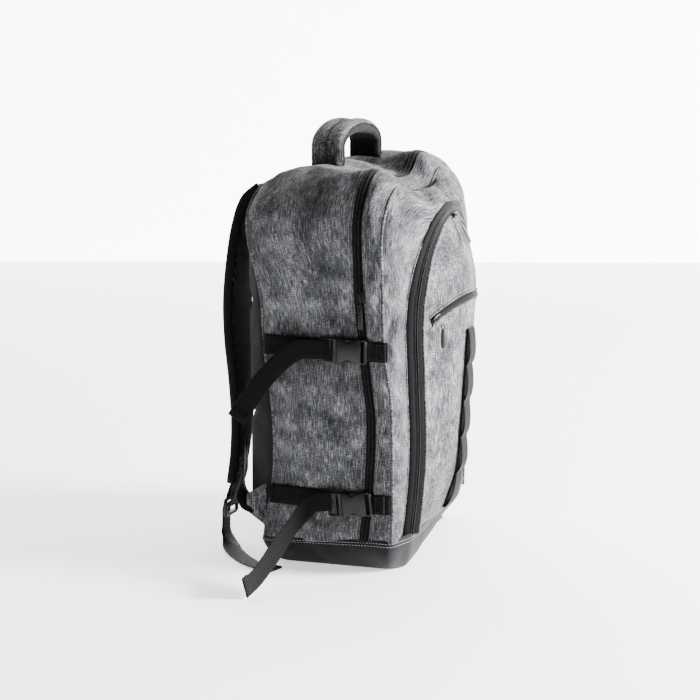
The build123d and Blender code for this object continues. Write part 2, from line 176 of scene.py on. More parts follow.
def sweep(path, profile, across, closed=False, flare=None):
    # rows of a profile carried along a path; across is the profile's sideways direction
    rows = []
    last = len(path) - 1
    for i, p in enumerate(path):
        if closed:
            run = Vector(path[(i + 1) % (last + 1)]) - Vector(path[i - 1])
        else:
            run = Vector(path[min(i + 1, last)]) - Vector(path[max(i - 1, 0)])
        run.normalize()
        side = Vector(across[i] if isinstance(across, list) else across)
        side = (side - run * side.dot(run)).normalized()
        up = run.cross(side)
        grow = flare[i] if flare else 1.0
        rows.append([Vector(p) + side * a * grow + up * b for a, b in profile])
    return rows + [rows[0]] if closed else rows


def strapProfile(width, thick, crown=0.0):
    # woven tape in section, with round selvedges
    w, t = width / 2, thick / 2
    edge = [
        (w - t, -t), (w - t * 0.3, -t * 0.7), (w, 0), (w - t * 0.3, t * 0.7), (w - t, t + crown * 0.2)
    ]
    top = [(w * 0.5, t + crown), (0, t + crown), (-w * 0.5, t + crown)]
    return edge + top + [(-a, b) for a, b in reversed(edge)] + [(-w * 0.5, -t), (0, -t), (w * 0.5, -t)]


def roundProfile(radius, sides=8, flat=1.0):
    return [
        (radius * math.cos(2 * math.pi * k / sides), flat * radius * math.sin(2 * math.pi * k / sides))
        for k in range(sides)
    ]


def boxProfile(width, thick, corner):
    # rounded rectangle, three points at each corner
    points = []
    for sx, sy, start in ((1, 1, 0), (-1, 1, 90), (-1, -1, 180), (1, -1, 270)):
        for k in range(3):
            a = math.radians(start + 45 * k)
            points.append(
                (
                    sx * (width / 2 - corner) + corner * math.cos(a),
                    sy * (thick / 2 - corner) + corner * math.sin(a)
                )
            )
    return points


def roundedLoop(corners, radius, step):
    # closed outline through corners (x, y), each rounded by its radius, with even spacing
    points = []
    n = len(corners)
    for i, corner in enumerate(corners):
        c = Vector(corner)
        a = (Vector(corners[i - 1]) - c).normalized()
        b = (Vector(corners[(i + 1) % n]) - c).normalized()
        r = radius[i] if isinstance(radius, list) else radius
        half = a.angle(b) / 2
        cut = r / math.tan(half)
        centre = c + (a + b).normalized() * (r / math.sin(half))
        start, end = c + a * cut - centre, c + b * cut - centre
        for k in range(5):
            turn = start.lerp(end, k / 4).normalized() * r
            points.append(centre + turn)
    lengths = [0.0]
    ring = points + [points[0]]
    for p, q in zip(ring, ring[1:]):
        lengths.append(lengths[-1] + (q - p).length)
    count = max(8, round(lengths[-1] / step))
    out = []
    k = 0
    for i in range(count):
        s = lengths[-1] * i / count
        while lengths[k + 1] < s:
            k += 1
        f = (s - lengths[k]) / max(lengths[k + 1] - lengths[k], 1e-9)
        out.append(ring[k].lerp(ring[k + 1], f))
    return out


def scatter(name, template, places):
    # copies of one small shape at each matrix, in one mesh
    mesh = bmesh.new()
    for place in places:
        template.transform(place)
        mesh.from_mesh(template)
        template.transform(place.inverted())
    return keep(name, mesh)


def bead(length, width, height, sides=8):
    # small rounded grain, longest along X, as a template in metres
    mesh = bmesh.new()
    bmesh.ops.create_uvsphere(
        mesh, u_segments=sides, v_segments=5, radius=0.5, matrix=Matrix.Rotation(math.pi / 2, 4, "Y")
    )
    bmesh.ops.scale(mesh, vec=Vector((length, width, height)) * mm, verts=mesh.verts)
    data = bpy.data.meshes.new("grain")
    mesh.to_mesh(data)
    mesh.free()
    data.polygons.foreach_set("use_smooth", [True] * len(data.polygons))
    return data


def frames(path, up, pitch, lift=0.0):
    # matrices every pitch mm along a path, X along it and Z along up
    fine = smoothPath(path, pitch)
    ups = up if isinstance(up, list) else None
    out = []
    for i, p in enumerate(fine[:-1]):
        run = (fine[i + 1] - p).normalized()
        normal = ups[min(len(ups) - 1, round(i / len(fine) * len(ups)))] if ups else Vector(up)
        normal = (normal - run * normal.dot(run)).normalized()
        side = normal.cross(run)
        basis = Matrix((run, side, normal)).transposed().to_4x4()
        basis.translation = (p.lerp(fine[i + 1], 0.5) + normal * lift) * mm
        out.append(basis)
    return out


def join(name, objects, sharp=None):
    # several meshes as one piece
    mesh = bmesh.new()
    for obj in objects:
        mesh.from_mesh(obj.data)
        bpy.data.objects.remove(obj)
    bmesh.ops.recalc_face_normals(mesh, faces=mesh.faces)
    return keep(name, mesh, sharp=sharp)


def settle(obj, pins, grow=0.0, press=0.5, stiff=4.0, cap=5.0):
    # short cloth run without gravity: seams are held and the cloth between them fills out and puckers
    data = obj.data
    rest = [v.co.copy() for v in data.vertices]
    group = obj.vertex_groups.new(name="held")
    for index, weight in enumerate(pins):
        if weight > 0:
            group.add([index], weight, "REPLACE")
    cloth = obj.modifiers.new("cloth", "CLOTH")
    s = cloth.settings
    s.quality = 5
    s.mass = 0.25
    s.tension_stiffness = s.compression_stiffness = 12
    s.shear_stiffness = 6
    s.bending_stiffness = stiff
    s.tension_damping = s.compression_damping = 8
    s.air_damping = 4
    s.vertex_group_mass = "held"
    s.shrink_min = -grow
    s.use_pressure = True
    s.uniform_pressure_force = press
    s.effector_weights.gravity = 0
    cloth.collision_settings.use_collision = False
    cloth.point_cache.frame_end = 20
    scene = bpy.context.scene
    for number in range(1, 21):
        scene.frame_set(number)
    moved = obj.evaluated_get(bpy.context.evaluated_depsgraph_get()).data
    ends = [v.co.copy() for v in moved.vertices]
    obj.modifiers.remove(cloth)
    obj.vertex_groups.remove(group)
    scene.frame_set(1)
    for start, end in zip(rest, ends):
        shift = end - start
        if shift.length > cap * mm:
            end[:] = start + shift.normalized() * cap * mm
    data.vertices.foreach_set("co", [c for p in ends for c in p])
    data.update()
    return ends


def rowsOf(points, width):
    # a settled sheet's points, which are numbered row by row, as rows in millimetres
    return [[p / mm for p in points[start : start + width]] for start in range(0, len(points), width)]


def soften(obj):
    sub = obj.modifiers.new("smooth", "SUBSURF")
    sub.levels = sub.render_levels = 1
    return obj


def thicken(obj, thick):
    wall = obj.modifiers.new("wall", "SOLIDIFY")
    wall.thickness = thick * mm
    wall.offset = -1
    return obj


def place(obj, body, nodes, slotName, material, blend=None):
    # finish, the body it moves with, and the nodes it stands for
    obj.data.materials.clear()
    obj.data.materials.append(material)
    if blend:
        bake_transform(obj)
    else:
        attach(obj, body)
    if nodes:
        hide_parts(*nodes)
    return obj


def mirrored(obj, name):
    # the same piece on the wearer's right
    mesh = bmesh.new()
    mesh.from_mesh(obj.data)
    bmesh.ops.scale(mesh, vec=(-1, 1, 1), verts=mesh.verts)
    bmesh.ops.reverse_faces(mesh, faces=mesh.faces)
    return keep(name, mesh)


# ---- finishes ----
def linear(code):
    values = [int(code[i : i + 2], 16) / 255 for i in (1, 3, 5)]
    return [v / 12.92 if v <= 0.04045 else ((v + 0.055) / 1.055) ** 2.4 for v in values] + [1.0]


def add(tree, kind, values=None, **settings):
    made = tree.nodes.new("ShaderNode" + kind)
    for key, value in settings.items():
        setattr(made, key, value)
    for key, value in (values or {}).items():
        if isinstance(value, bpy.types.NodeSocket):
            tree.links.new(value, made.inputs[key])
        else:
            made.inputs[key].default_value = value
    return made


def blank(name, rough, metal=0.0, sheen=0.0, gloss=0.03):
    made = bpy.data.materials.new(name)
    made.use_nodes = True
    shader = made.node_tree.nodes["Principled BSDF"]
    shader.inputs["Roughness"].default_value = rough
    shader.inputs["Metallic"].default_value = metal
    shader.inputs["Sheen Weight"].default_value = sheen
    shader.inputs["Specular IOR Level"].default_value = gloss
    return made, made.node_tree, shader


def noiseOf(tree, coords, scale, detail=2.0, rough=0.5):
    # noise with its own scale on each axis, per metre
    stretched = add(tree, "Mapping", {"Vector": coords, "Scale": scale})
    return add(
        tree, "TexNoise",
        {"Vector": stretched.outputs[0], "Scale": 1.0, "Detail": detail, "Roughness": rough}
    ).outputs["Fac"]


def waveOf(tree, coords, axis, pitch, warp=0.0):
    # ridges every pitch millimetres
    wave = add(
        tree, "TexWave", {"Vector": coords, "Scale": 314.16 / pitch, "Distortion": warp, "Detail": 1.0},
        bands_direction=axis
    )
    return wave.outputs["Fac"]


def maths(tree, kind, a, b):
    return add(tree, "Math", {0: a, 1: b}, operation=kind).outputs[0]


def ramp(tree, value, stops):
    made = add(tree, "ValToRGB", {"Fac": value})
    band = made.color_ramp
    band.elements[0].position, band.elements[0].color = stops[0][0], linear(stops[0][1])
    band.elements[1].position, band.elements[1].color = stops[-1][0], linear(stops[-1][1])
    for position, code in stops[1:-1]:
        band.elements.new(position).color = linear(code)
    return made.outputs[0]


def roughen(tree, shader, height, depth, strength=1.0):
    bump = add(tree, "Bump", {"Height": height, "Distance": depth * mm, "Strength": strength})
    tree.links.new(bump.outputs[0], shader.inputs["Normal"])


def heather(name, source, warp, weft, stops):
    # two-tone slub yarns, uneven along the warp, with a plain weave and a slightly fuzzy face
    made, tree, shader = blank(name, 0.95, sheen=0.06)
    coords = add(tree, "TexCoord").outputs[source]
    slub = noiseOf(tree, coords, warp, 3.0, 0.6)
    cross = noiseOf(tree, coords, weft, 2.0, 0.6)
    patch = noiseOf(tree, coords, (26, 26, 26), 3.0, 0.6)
    fleck = noiseOf(tree, coords, (900, 900, 900), 1.0, 0.5)
    tone = maths(tree, "MULTIPLY", slub, 0.5)
    tone = maths(tree, "ADD", tone, maths(tree, "MULTIPLY", cross, 0.22))
    tone = maths(tree, "ADD", tone, maths(tree, "MULTIPLY", patch, 0.26))
    tone = maths(tree, "ADD", tone, maths(tree, "MULTIPLY", fleck, 0.16))
    tree.links.new(ramp(tree, tone, stops), shader.inputs["Base Color"])
    roughen(tree, shader, maths(tree, "ADD", fleck, slub), 0.35, 0.7)
    return made


greys = [(0.42, "#0c0d0f"), (0.52, "#2a2b2d"), (0.6, "#4b4c4e"), (0.73, "#949597")]
heatherCut = heather("slub_heather_polyester_woven_gusset", "UV", (70, 950, 1), (800, 150, 1), greys)
heatherFlat = heather(
    "slub_heather_polyester_woven_panel", "Object", (950, 950, 70), (150, 150, 800), greys
)


def coated(name, code, pitch, rough):
    # tight plain weave under a polyurethane coat
    made, tree, shader = blank(name, rough, sheen=0.1)
    coords = add(tree, "TexCoord").outputs["Object"]
    patch = noiseOf(tree, coords, (60, 60, 60), 4.0, 0.6)
    dark, light = code
    tree.links.new(ramp(tree, patch, [(0.3, dark), (0.7, light)]), shader.inputs["Base Color"])
    grain = maths(
        tree, "ADD", noiseOf(tree, coords, (700, 700, 700), 2.0),
        maths(tree, "MULTIPLY", waveOf(tree, coords, "Z", pitch), 0.4)
    )
    roughen(tree, shader, grain, 0.2, 0.6)
    return made


bootCloth = coated("polyester_oxford_polyurethane_coated", ("#101113", "#1c1d1f"), 0.9, 0.6)
lining = coated("polyester_taffeta_dyed_lining", ("#2c2d30", "#35363a"), 0.6, 0.5)
sheetPlastic = coated("polyethylene_sheet_extruded", ("#26282b", "#2d2f33"), 6.0, 0.4)


def webbing(name, code):
    # nylon tape, ribbed across with faint lengthwise columns
    made, tree, shader = blank(name, 0.6, sheen=0.04)
    coords = add(tree, "TexCoord").outputs["UV"]
    ribs = maths(
        tree, "ADD", waveOf(tree, coords, "Y", 1.5),
        maths(tree, "MULTIPLY", waveOf(tree, coords, "X", 3.2), 0.6)
    )
    dark, light = code
    tree.links.new(ramp(tree, ribs, [(0.1, dark), (1.2, light)]), shader.inputs["Base Color"])
    roughen(tree, shader, ribs, 0.3, 0.6)
    return made


nylonWebbing = webbing("nylon_webbing_woven_black", ("#020203", "#0b0b0d"))
zipTape = webbing("polyester_zip_tape_knitted_black", ("#020203", "#0a0a0c"))


def spacer(name):
    # warp-knitted spacer mesh with rows of small holes
    made, tree, shader = blank(name, 0.85, sheen=0.04)
    coords = add(tree, "TexCoord").outputs["Object"]
    holes = add(
        tree, "TexVoronoi", {"Vector": coords, "Scale": 330.0, "Randomness": 0.25}
    ).outputs["Distance"]
    tree.links.new(ramp(tree, holes, [(0.12, "#040405"), (0.4, "#19191b")]), shader.inputs["Base Color"])
    roughen(tree, shader, holes, 0.8, 0.8)
    return made


spacerMesh = spacer("polyester_spacer_mesh_knitted_black")


def plain(name, code, rough, metal=0.0, grain=500.0, depth=0.05):
    # moulded or cast surface with a fine grain
    made, tree, shader = blank(name, rough, metal, gloss=0.2)
    coords = add(tree, "TexCoord").outputs["Object"]
    speck = noiseOf(tree, coords, (grain, grain, grain), 3.0)
    dark, light = code
    tree.links.new(ramp(tree, speck, [(0.3, dark), (0.7, light)]), shader.inputs["Base Color"])
    roughen(tree, shader, speck, depth, 0.5)
    return made


acetal = plain("acetal_injection_moulded_black", ("#070708", "#0f1011"), 0.36)
coilNylon = plain("nylon_coil_extruded_black", ("#040405", "#0c0c0e"), 0.42)
zinc = plain("zinc_die_cast_black_lacquered", ("#0a0a0b", "#141516"), 0.34, 0.5)
pullRubber = plain("pvc_moulded_zip_pull_grey", ("#4c4d50", "#5a5b5e"), 0.55)
thread = plain("polyester_thread_spun_grey", ("#6b6c6e", "#8b8c8e"), 0.8, 0.0, 900.0)
darkThread = plain("polyester_thread_spun_black", ("#1b1b1d", "#2b2b2e"), 0.75, 0.0, 900.0)
print("finishes made")


# ---- main shell: one sheet of cloth for the gussets, zip line and pocket wall ----
shell = {"half": 160.0, "base": 42.0, "columns": 236}
flapShape = {"centre": 337.0, "outer": 124.0, "edge": 106.0, "base": 46.0}
backSeam = [
    (29, 97), (62, 91), (95, 84), (129, 79), (195, 80), (237, 85), (285, 92), (342, 95), (385, 104),
    (414, 112), (448, 115), (475, 111), (492, 104)
]
mainZip = [(39, -46), (124, -54), (201, -56), (260, -49), (295, -45), (355, -40), (425, -37), (487, -38)]
cornerSeam = [
    (49, -83), (117, -84), (200, -83), (231, -81), (270, -74), (300, -71), (354, -70), (420, -68),
    (488, -70)
]
archLine = [
    (38, -91), (90, -97), (157, -101), (250, -98), (323, -96), (398, -104), (436, -109), (462, -113)
]
zipHalf = 7.2  # half the main zip's width
# soft creases on the sides: where each starts and ends as (y, z), its width and depth
creases = [
    ((-38, 352), (2, 374), 7, 3.4), ((-34, 322), (48, 334), 10, 2.8), ((86, 312), (30, 303), 8, 2.4),
    ((64, 112), (12, 130), 8, 2.8), ((84, 128), (40, 156), 9, 2.4), ((28, 74), (-22, 62), 6, 2.6),
    ((72, 70), (40, 52), 5, 2.2), ((-42, 238), (-16, 196), 7, 2.4), ((74, 262), (36, 238), 9, 2.4),
    ((88, 476), (24, 496), 6, 2.8), ((100, 455), (44, 482), 6, 2.4), ((104, 424), (72, 446), 7, 2.4),
    ((-60, 276), (-70, 202), 5, 4.2), ((-64, 186), (-72, 140), 5, 2.8), ((-54, 336), (-60, 300), 4, 2.2),
    ((-56, 118), (-76, 104), 4, 2.6), ((-86, 134), (-98, 128), 4, 2.8), ((-84, 108), (-98, 104), 4, 3.0),
    ((-86, 78), (-94, 66), 5, 2.2), ((-74, 402), (-92, 376), 9, 2.8),
]


def crease(y, z):
    # depth of the creases there, with a low ridge beside each
    total = 0.0
    for (y0, z0), (y1, z1), wide, deep in creases:
        dy, dz = y1 - y0, z1 - z0
        long = math.hypot(dy, dz)
        s = ((y - y0) * dy + (z - z0) * dz) / long**2
        if -0.4 < s < 1.4:
            d = ((z - z0) * dy - (y - y0) * dz) / long
            if abs(d) < 4 * wide:
                total += 1.5 * deep * bell(s, 0.42, 0.42) * (
                    bell(d, 0, wide) - 0.55 * bell(d, wide * 1.7, wide)
                )
    return total


def bootTop(y):
    # the boot's top edge falls towards the back
    return mix(47.0, 33.0, min(1.0, max(0.0, (y + 60) / 155)))


nearLift = [
    (-160, -2), (-112, 0), (-64, -13), (-38, -17), (-4, -17), (12, -12), (38, 8), (64, 9), (108, -1),
    (150, -9)
]
handleLift = [(-160, -3), (-110, -6), (-71, -9), (0, -8), (71, -5), (100, -1), (150, 0)]
zones = {"rear": 27, "zip": 2, "front": 8, "pocket": 11}
sideBelly = [
    (42, 0.5), (93, -1.5), (140, 4.5), (190, 6.5), (240, 4), (287, -1.5), (335, 3.5), (400, 6), (460, 4),
    (510, 2)
]


def farLean(x, z):
    # the far corner seam is drawn back a little below the upper strap
    return max(0.0, x) / 157 * along([(0, 11), (160, 9), (300, 0), (500, 0)], z)


def frontSkew(x, z):
    # the loaded front stands a little further out on the wearer's left, most of all near the base
    q = x / 115
    return along(
        [(0, 15), (60, 14), (120, 13), (200, 11), (300, 8)], z
    ) * (1 + q - 0.45 * max(0.0, q) ** 2)


def shellPoint(zone, f, t):
    base = shell["base"]
    if zone == "rear":
        half = along([(0, 155.5), (0.12, 158.5), (0.5, 160.5), (1, 159.6)], f)
        top = along([(0, 490), (0.1, 499), (0.3, 507), (0.6, 510.5), (1, 509.5)], f)
        x, z, nx, nz = archPoint(half, top, mix(62, 70, f), base, t)
        y = mix(along(backSeam, z), along(mainZip, z) + zipHalf, f)
        out = math.sin(math.pi * f) * along(sideBelly, z)
    elif zone == "zip":
        x, z, nx, nz = archPoint(159.6, mix(509.5, 508, f), 70, base, t)
        y = along(mainZip, z) + mix(zipHalf, -zipHalf, f)
        out = 0.0
    elif zone == "front":
        x, z, nx, nz = archPoint(mix(159.6, 157.5, f), mix(508, 488.5, f**1.3), mix(70, 66, f), base, t)
        y = mix(along(mainZip, z) - zipHalf, along(cornerSeam, z) + farLean(x, z), f)
        out = math.sin(math.pi * f) * 3.2
    else:
        x, z, nx, nz = archPoint(157.5, 488.5, 66, base, t)
        x2, z2, nx2, nz2 = archPoint(
            flapShape["outer"], flapShape["centre"] + flapShape["outer"], 122.5, base, t
        )
        y = mix(
            along(cornerSeam, z) + farLean(x, z), along(archLine, z2) + 9 * abs(nx2) + frontSkew(x2, z2),
            f
        )
        x, z, nx, nz = mix(x, x2, f), mix(z, z2, f), mix(nx, nx2, f), mix(nz, nz2, f)
        out = math.sin(math.pi * f) * 5.0
    # raised shoulders and the dip between them
    back = min(1.0, max(0.0, (y + 30) / 45))
    lift = nz * (1 - bell(y, 108, 30)) * mix(
        along(nearLift, x), along(handleLift, x), back
    ) * (0.5 if zone == "pocket" else 1)
    # cloth drawn in under the webbing, and soft unevenness that runs down the cloth
    drawn = -2.2 * (bell(z, 287, 15) + bell(z, 93, 15)) * (1 - abs(nz)) * (zone != "pocket")
    loose = math.sin(math.pi * min(1, max(0, f))) if zone != "zip" else 0.0
    out += drawn - crease(y, z) * (abs(x) > 90) * min(1.0, loose * 2.2)
    out += 4.6 * loose * noise.noise(Vector((x / 46, y / 34, z / 60)))
    out += 0.5 * noise.noise(Vector((x / 9, y / 30, z / 9))) * (1 - 0.6 * loose)
    forward = -0.7 if zone == "pocket" else 0.0
    if z < 110:
        z -= (47 - bootTop(y)) * (1 - (z - base) / (110 - base)) ** 1.5
    return Vector((x + nx * out, y + forward * out, z + nz * out + lift))


shellRows = []
held = []
ends = {}
for zone, count in zones.items():
    ends[zone] = [len(shellRows) - (1 if shellRows else 0), 0]
    for k in range(0 if not shellRows else 1, count + 1):
        f = k / count
        row = [shellPoint(zone, f, c / shell["columns"]) for c in range(shell["columns"] + 1)]
        shellRows.append(row)
        for p in row:
            hold = 1.0 if k in (0, count) or zone == "zip" or p.z < bootTop(p.y) + 2 else 0.0
            if abs(abs(p.z - 190) - 97) < 13 and abs(p.x) > 150 and zone == "rear":
                hold = max(hold, 0.85)
            held.append(hold)
    ends[zone][1] = len(shellRows) - 1
shellSheet = quilt("shell", shellRows, away=inside)
cloths = settle(shellSheet, held, grow=0.022, press=1.2, stiff=3.0, cap=6.0)
shellRows = rowsOf(cloths, shell["columns"] + 1)
tree = BVHTree.FromObject(shellSheet, bpy.context.evaluated_depsgraph_get())


def sideX(y, z):
    # how far out the wearer's left side stands there
    hit = tree.ray_cast(Vector((-0.3, y * mm, z * mm)), Vector((1, 0, 0)))[0]
    return hit.x / mm if hit else -shell["half"]


bpy.data.objects.remove(shellSheet)
for zone, node, title in (
    ("rear", "rear_gusset", "rear_gusset_cloth"), ("front", "front_gusset", "front_gusset_cloth"),
    ("pocket", "pocket_wall", "pocket_wall_cloth")
):
    first, last = ends[zone]
    panel = quilt(title, shellRows[first : last + 1], away=inside)
    soften(thicken(panel, 2.6))
    place(panel, "pack", [node], "cloth", heatherCut)
print("shell made")


# ---- seams, piping and stitches ----
def tube(name, path, radius, up=(1, 0, 0), sides=8):
    return quilt(name, sweep(path, roundProfile(radius, sides), up), wrap=True, caps=True)


def seamEdge(name, zone, end, radius, nodes=()):
    # the cloth rolled over at a seam
    place(tube(name, shellRows[ends[zone][end]], radius, (0, 1, 0)), "pack", nodes, "cloth", heatherCut)


def stitches(name, places, body="pack", size=(2.6, 0.7, 0.55)):
    place(scatter(name, bead(*size, 6), places), body, [], None, thread)


def stitchRow(name, row, after, shift):
    # stitches beside a seam: row is the seam's row and after the next one in
    line = [
        p.lerp(q, min(1.0, shift / max((q - p).length, 0.1)))
        for p, q in zip(shellRows[row], shellRows[after])
    ]
    ups = []
    for c, p in enumerate(line):
        ahead = line[min(c + 1, len(line) - 1)] - line[max(c - 1, 0)]
        ups.append((shellRows[after][c] - shellRows[row][c]).cross(ahead).normalized())
        if ups[-1].dot(p - Vector((0, p.y, min(p.z, 400)))) < 0 and abs(p.x) > 20:
            ups[-1].negate()
        if abs(p.x) <= 20 and ups[-1].z < 0:
            ups[-1].negate()
    stitches(name, frames(line, ups, 3.6, 0.5))


rearEnd, pocketEnd = ends["rear"][1], ends["pocket"][1]
frontStart, frontEnd = ends["front"]
seamEdge("rear_gusset_zip_edge", "rear", 1, 1.1)
seamEdge("front_gusset_zip_edge", "front", 0, 1.1)
seamEdge("corner_piping_cord", "pocket", 0, 2.0, ["corner_piping"])
seamEdge("pocket_zip_edge", "pocket", 1, 1.3)
seamEdge("back_seam_roll", "rear", 0, 1.8)
stitchRows = (
    ("rear_gusset_stitches", rearEnd, rearEnd - 1, 3.6),
    ("front_gusset_stitches", frontStart, frontStart + 1, 3.6),
    ("corner_stitches", frontEnd, frontEnd - 1, 3.4),
    ("pocket_wall_stitches", pocketEnd, pocketEnd - 1, 3.2),
)
for title, row, after, shift in stitchRows:
    stitchRow(title, row, after, shift)

# ---- main zip ----
zipBackLine, zipFrontLine = shellRows[rearEnd], shellRows[frontStart]


def across(a, b, f, out=0.0):
    # a line part of the way between two seam lines, lifted outwards
    line = []
    for p, q in zip(a, b):
        spot = p.lerp(q, f)
        away = Vector((spot.x, 0, max(0.0, spot.z - 400) * 1.2))
        line.append(spot + (away.normalized() * out if away.length > 1 else Vector((0, 0, out))))
    return line


tapes = quilt(
    "main_zip_tape_pair",
    [
        across(zipBackLine, zipFrontLine, f, o)
        for f, o in ((0.02, 0.4), (0.2, 0.9), (0.4, 0.9), (0.6, 0.9), (0.8, 0.9), (0.98, 0.4))
    ],
    away=inside
)
place(thicken(tapes, 1.1), "pack", ["main_zip_tapes"], "zip_tape", zipTape)
coilParts = []
for k, f in enumerate((0.36, 0.64)):
    line = across(zipBackLine, zipFrontLine, f, 1.6)
    ups = [Vector((p.x, 0, max(0.0, p.z - 400) * 1.2)) for p in line]
    coilParts.append(scatter(f"coil{k}", bead(1.9, 3.4, 2.0), frames(line, ups, 2.5, 0.3)))
place(join("main_zip_coil_teeth", coilParts), "pack", ["main_zip_coil"], "zip_coil", coilNylon)
print("main zip made")


# ---- front flap ----
archTop = [(0, -96.5), (35, -103), (60, -108), (90, -112)]  # front of the opening's edge by angle
crown = [
    (46, -96), (66, -104), (109, -117), (153, -121.5), (197, -125.5), (262, -129), (330, -132.5),
    (460, -132.5)
]


def openingEdge(x, z):
    # how far forward the opening's edge stands, and the angle above its arch's centre
    rise = z - flapShape["centre"]
    if rise <= 0:
        return along(archLine, z), 0.0
    angle = math.degrees(math.atan2(rise, abs(x) + 1e-6))
    return along(archTop, angle), angle


def flapY(x, z):
    # the flap's face, domed from its edge to its middle
    q = math.hypot(x, max(0.0, z - flapShape["centre"])) / flapShape["edge"]
    edge, angle = openingEdge(x, z)
    edge = edge - 7 * math.cos(math.radians(angle)) + frontSkew(x, z)
    middle = along(crown, min(z, 330))
    soft = 1.6 * noise.noise(Vector((x / 42, 3, z / 80))) * (1 - min(1, q) ** 4)
    return middle + (edge - middle) * min(1.0, q) ** 1.75 + soft


def flapHalf(z):
    rise = max(0.0, z - flapShape["centre"])
    return math.sqrt(max(0.0, flapShape["edge"] ** 2 - rise**2))


low, centre, reach = flapShape["base"], flapShape["centre"], flapShape["edge"]
flapLevels = [low + (centre - low) * k / 52 for k in range(52)]
flapLevels += [centre + reach * math.sin(math.radians(90 * k / 26)) for k in range(27)]
flapColumns = 45
flapRows = []
held = []
for z in flapLevels:
    row = []
    for c in range(flapColumns):
        f = c / 22 - 1
        f = math.copysign(abs(f) ** 0.9, f)
        x = flapHalf(z) * f
        row.append(Vector((x, flapY(x, z), z)))
        near = abs(f) > 0.96 or z <= low or z > 440
        held.append(1.0 if near else 0.7 if abs(x) < 14 and z < 300 else 0.0)
    flapRows.append(row)
flapSheet = quilt("flap_sheet", flapRows, away=inside)
cloths = settle(flapSheet, held, grow=0.012, press=0.8, stiff=5.0, cap=3.0)
flapRows = rowsOf(cloths, flapColumns)
bpy.data.objects.remove(flapSheet)
flap = quilt("flap_panel_cloth", flapRows, merge=0.02, away=inside)
place(soften(thicken(flap, 2.4)), "flap", ["flap_panel"], "cloth", heatherFlat)
flapTree = BVHTree.FromObject(flap, bpy.context.evaluated_depsgraph_get())


def onFlap(x, z, out=0.0):
    # point on the flap's face, lifted along its normal
    hit, normal = flapTree.ray_cast(Vector((x * mm, -0.3, z * mm)), Vector((0, 1, 0)))[:2]
    if not hit:
        return Vector((x, flapY(x, z) - out, z)), Vector((0, -1, 0))
    return hit / mm + normal * out, normal


# ---- arched front zip ----
archColumns = 220


def archLineAt(radius, out):
    # line round the front opening at a radius, between the pocket wall and the flap
    line = []
    f = (flapShape["outer"] - radius) / (flapShape["outer"] - flapShape["edge"])
    for c in range(archColumns + 1):
        t = c / archColumns
        x, z, nx, nz = archPoint(radius, flapShape["centre"] + radius, radius - 1.5, low - 1, t)
        wall = along(archLine, z)
        edge = openingEdge(x, z)[0]
        wide = math.hypot(0.72 * abs(nx), 1.0)
        slant = mix(9, -8, min(1.05, f)) * abs(nx)
        away = Vector((0.72 * nx, -1.0, 0)) / wide * out
        line.append(Vector((x, mix(wall, edge, min(1, f)) + slant + frontSkew(x, z), z)) + away)
    return line


def archBand(title, radii, thick):
    return thicken(quilt(title, [archLineAt(r, o) for r, o in radii], away=behindFront), thick)


outerTape = archBand("front_zip_outer_tape", ((124.4, 0.6), (121, 1.8), (118, 2.2), (115.4, 1.6)), 1.0)
place(outerTape, "pack", ["front_zip_outer"], "zip_tape", zipTape)
innerTape = archBand("front_zip_inner_tape", ((114.2, 1.2), (111, 2.0), (108, 2.2), (104.4, 1.0)), 1.0)
coils = []
for k, radius in enumerate((112.6, 115.0)):
    line = archLineAt(radius, 2.0)
    coils.append(scatter(f"archCoil{k}", bead(1.9, 2.9, 2.0), frames(line, (0, -1, 0), 2.5, 0.4)))
place(innerTape, "flap", ["front_zip_inner"], "zip_tape", zipTape)
place(join("front_zip_coil_teeth", coils), "flap", [], "zip_coil", coilNylon)
place(tube("flap_zip_binding", archLineAt(105.2, 1.4), 1.4, (0, 1, 0)), "flap", [], "cloth", heatherCut)
line = [onFlap(p.x * 0.965, mix(p.z, 200, 0.02), 0.1)[0] for p in archLineAt(104.5, 0)]
stitches("flap_edge_stitches", frames(line, (0, -1, 0), 3.6, 0.3), "flap")
print("front zip made")

# ---- chest pocket zip ----
chest = {"half": 90.0, "top": 340.0, "sag": 23.0}
chestRadius = (chest["half"] ** 2 + chest["sag"] ** 2) / (2 * chest["sag"])


def chestLine(offset, out):
    line = []
    for k in range(81):
        a = math.asin(chest["half"] / chestRadius) * (k / 40 - 1)
        r = chestRadius + offset
        line.append(onFlap(r * math.sin(a), chest["top"] - chestRadius + r * math.cos(a), out)[0])
    return line


chestTape = quilt(
    "chest_zip_tape",
    [chestLine(o, u) for o, u in ((6, 0.3), (4.2, 1.1), (0, 1.3), (-4.2, 1.1), (-6, 0.3))],
    away=behindFront
)
place(thicken(chestTape, 1.0), "flap", ["chest_zip"], "zip_tape", zipTape)
coils = [
    scatter(f"chestCoil{k}", bead(1.7, 2.6, 1.8), frames(chestLine(o, 1.7), (0, -1, 0.1), 2.3, 0.3))
    for k, o in enumerate((1.3, -1.3))
]
place(join("chest_zip_coil_teeth", coils), "flap", [], "zip_coil", coilNylon)
for title, offset, radius in (("chest_zip_upper_lip", 6.4, 1.7), ("chest_zip_lower_lip", -6.4, 1.3)):
    place(tube(title, chestLine(offset, 0.3), radius, (0, 1, 0)), "flap", [], "cloth", heatherFlat)
runs = [frames(chestLine(offset, 0.1), (0, -1, 0), 3.6, 0.3) for offset in (9.6, -9.2)]
stitches("chest_zip_stitches", runs[0] + runs[1], "flap")

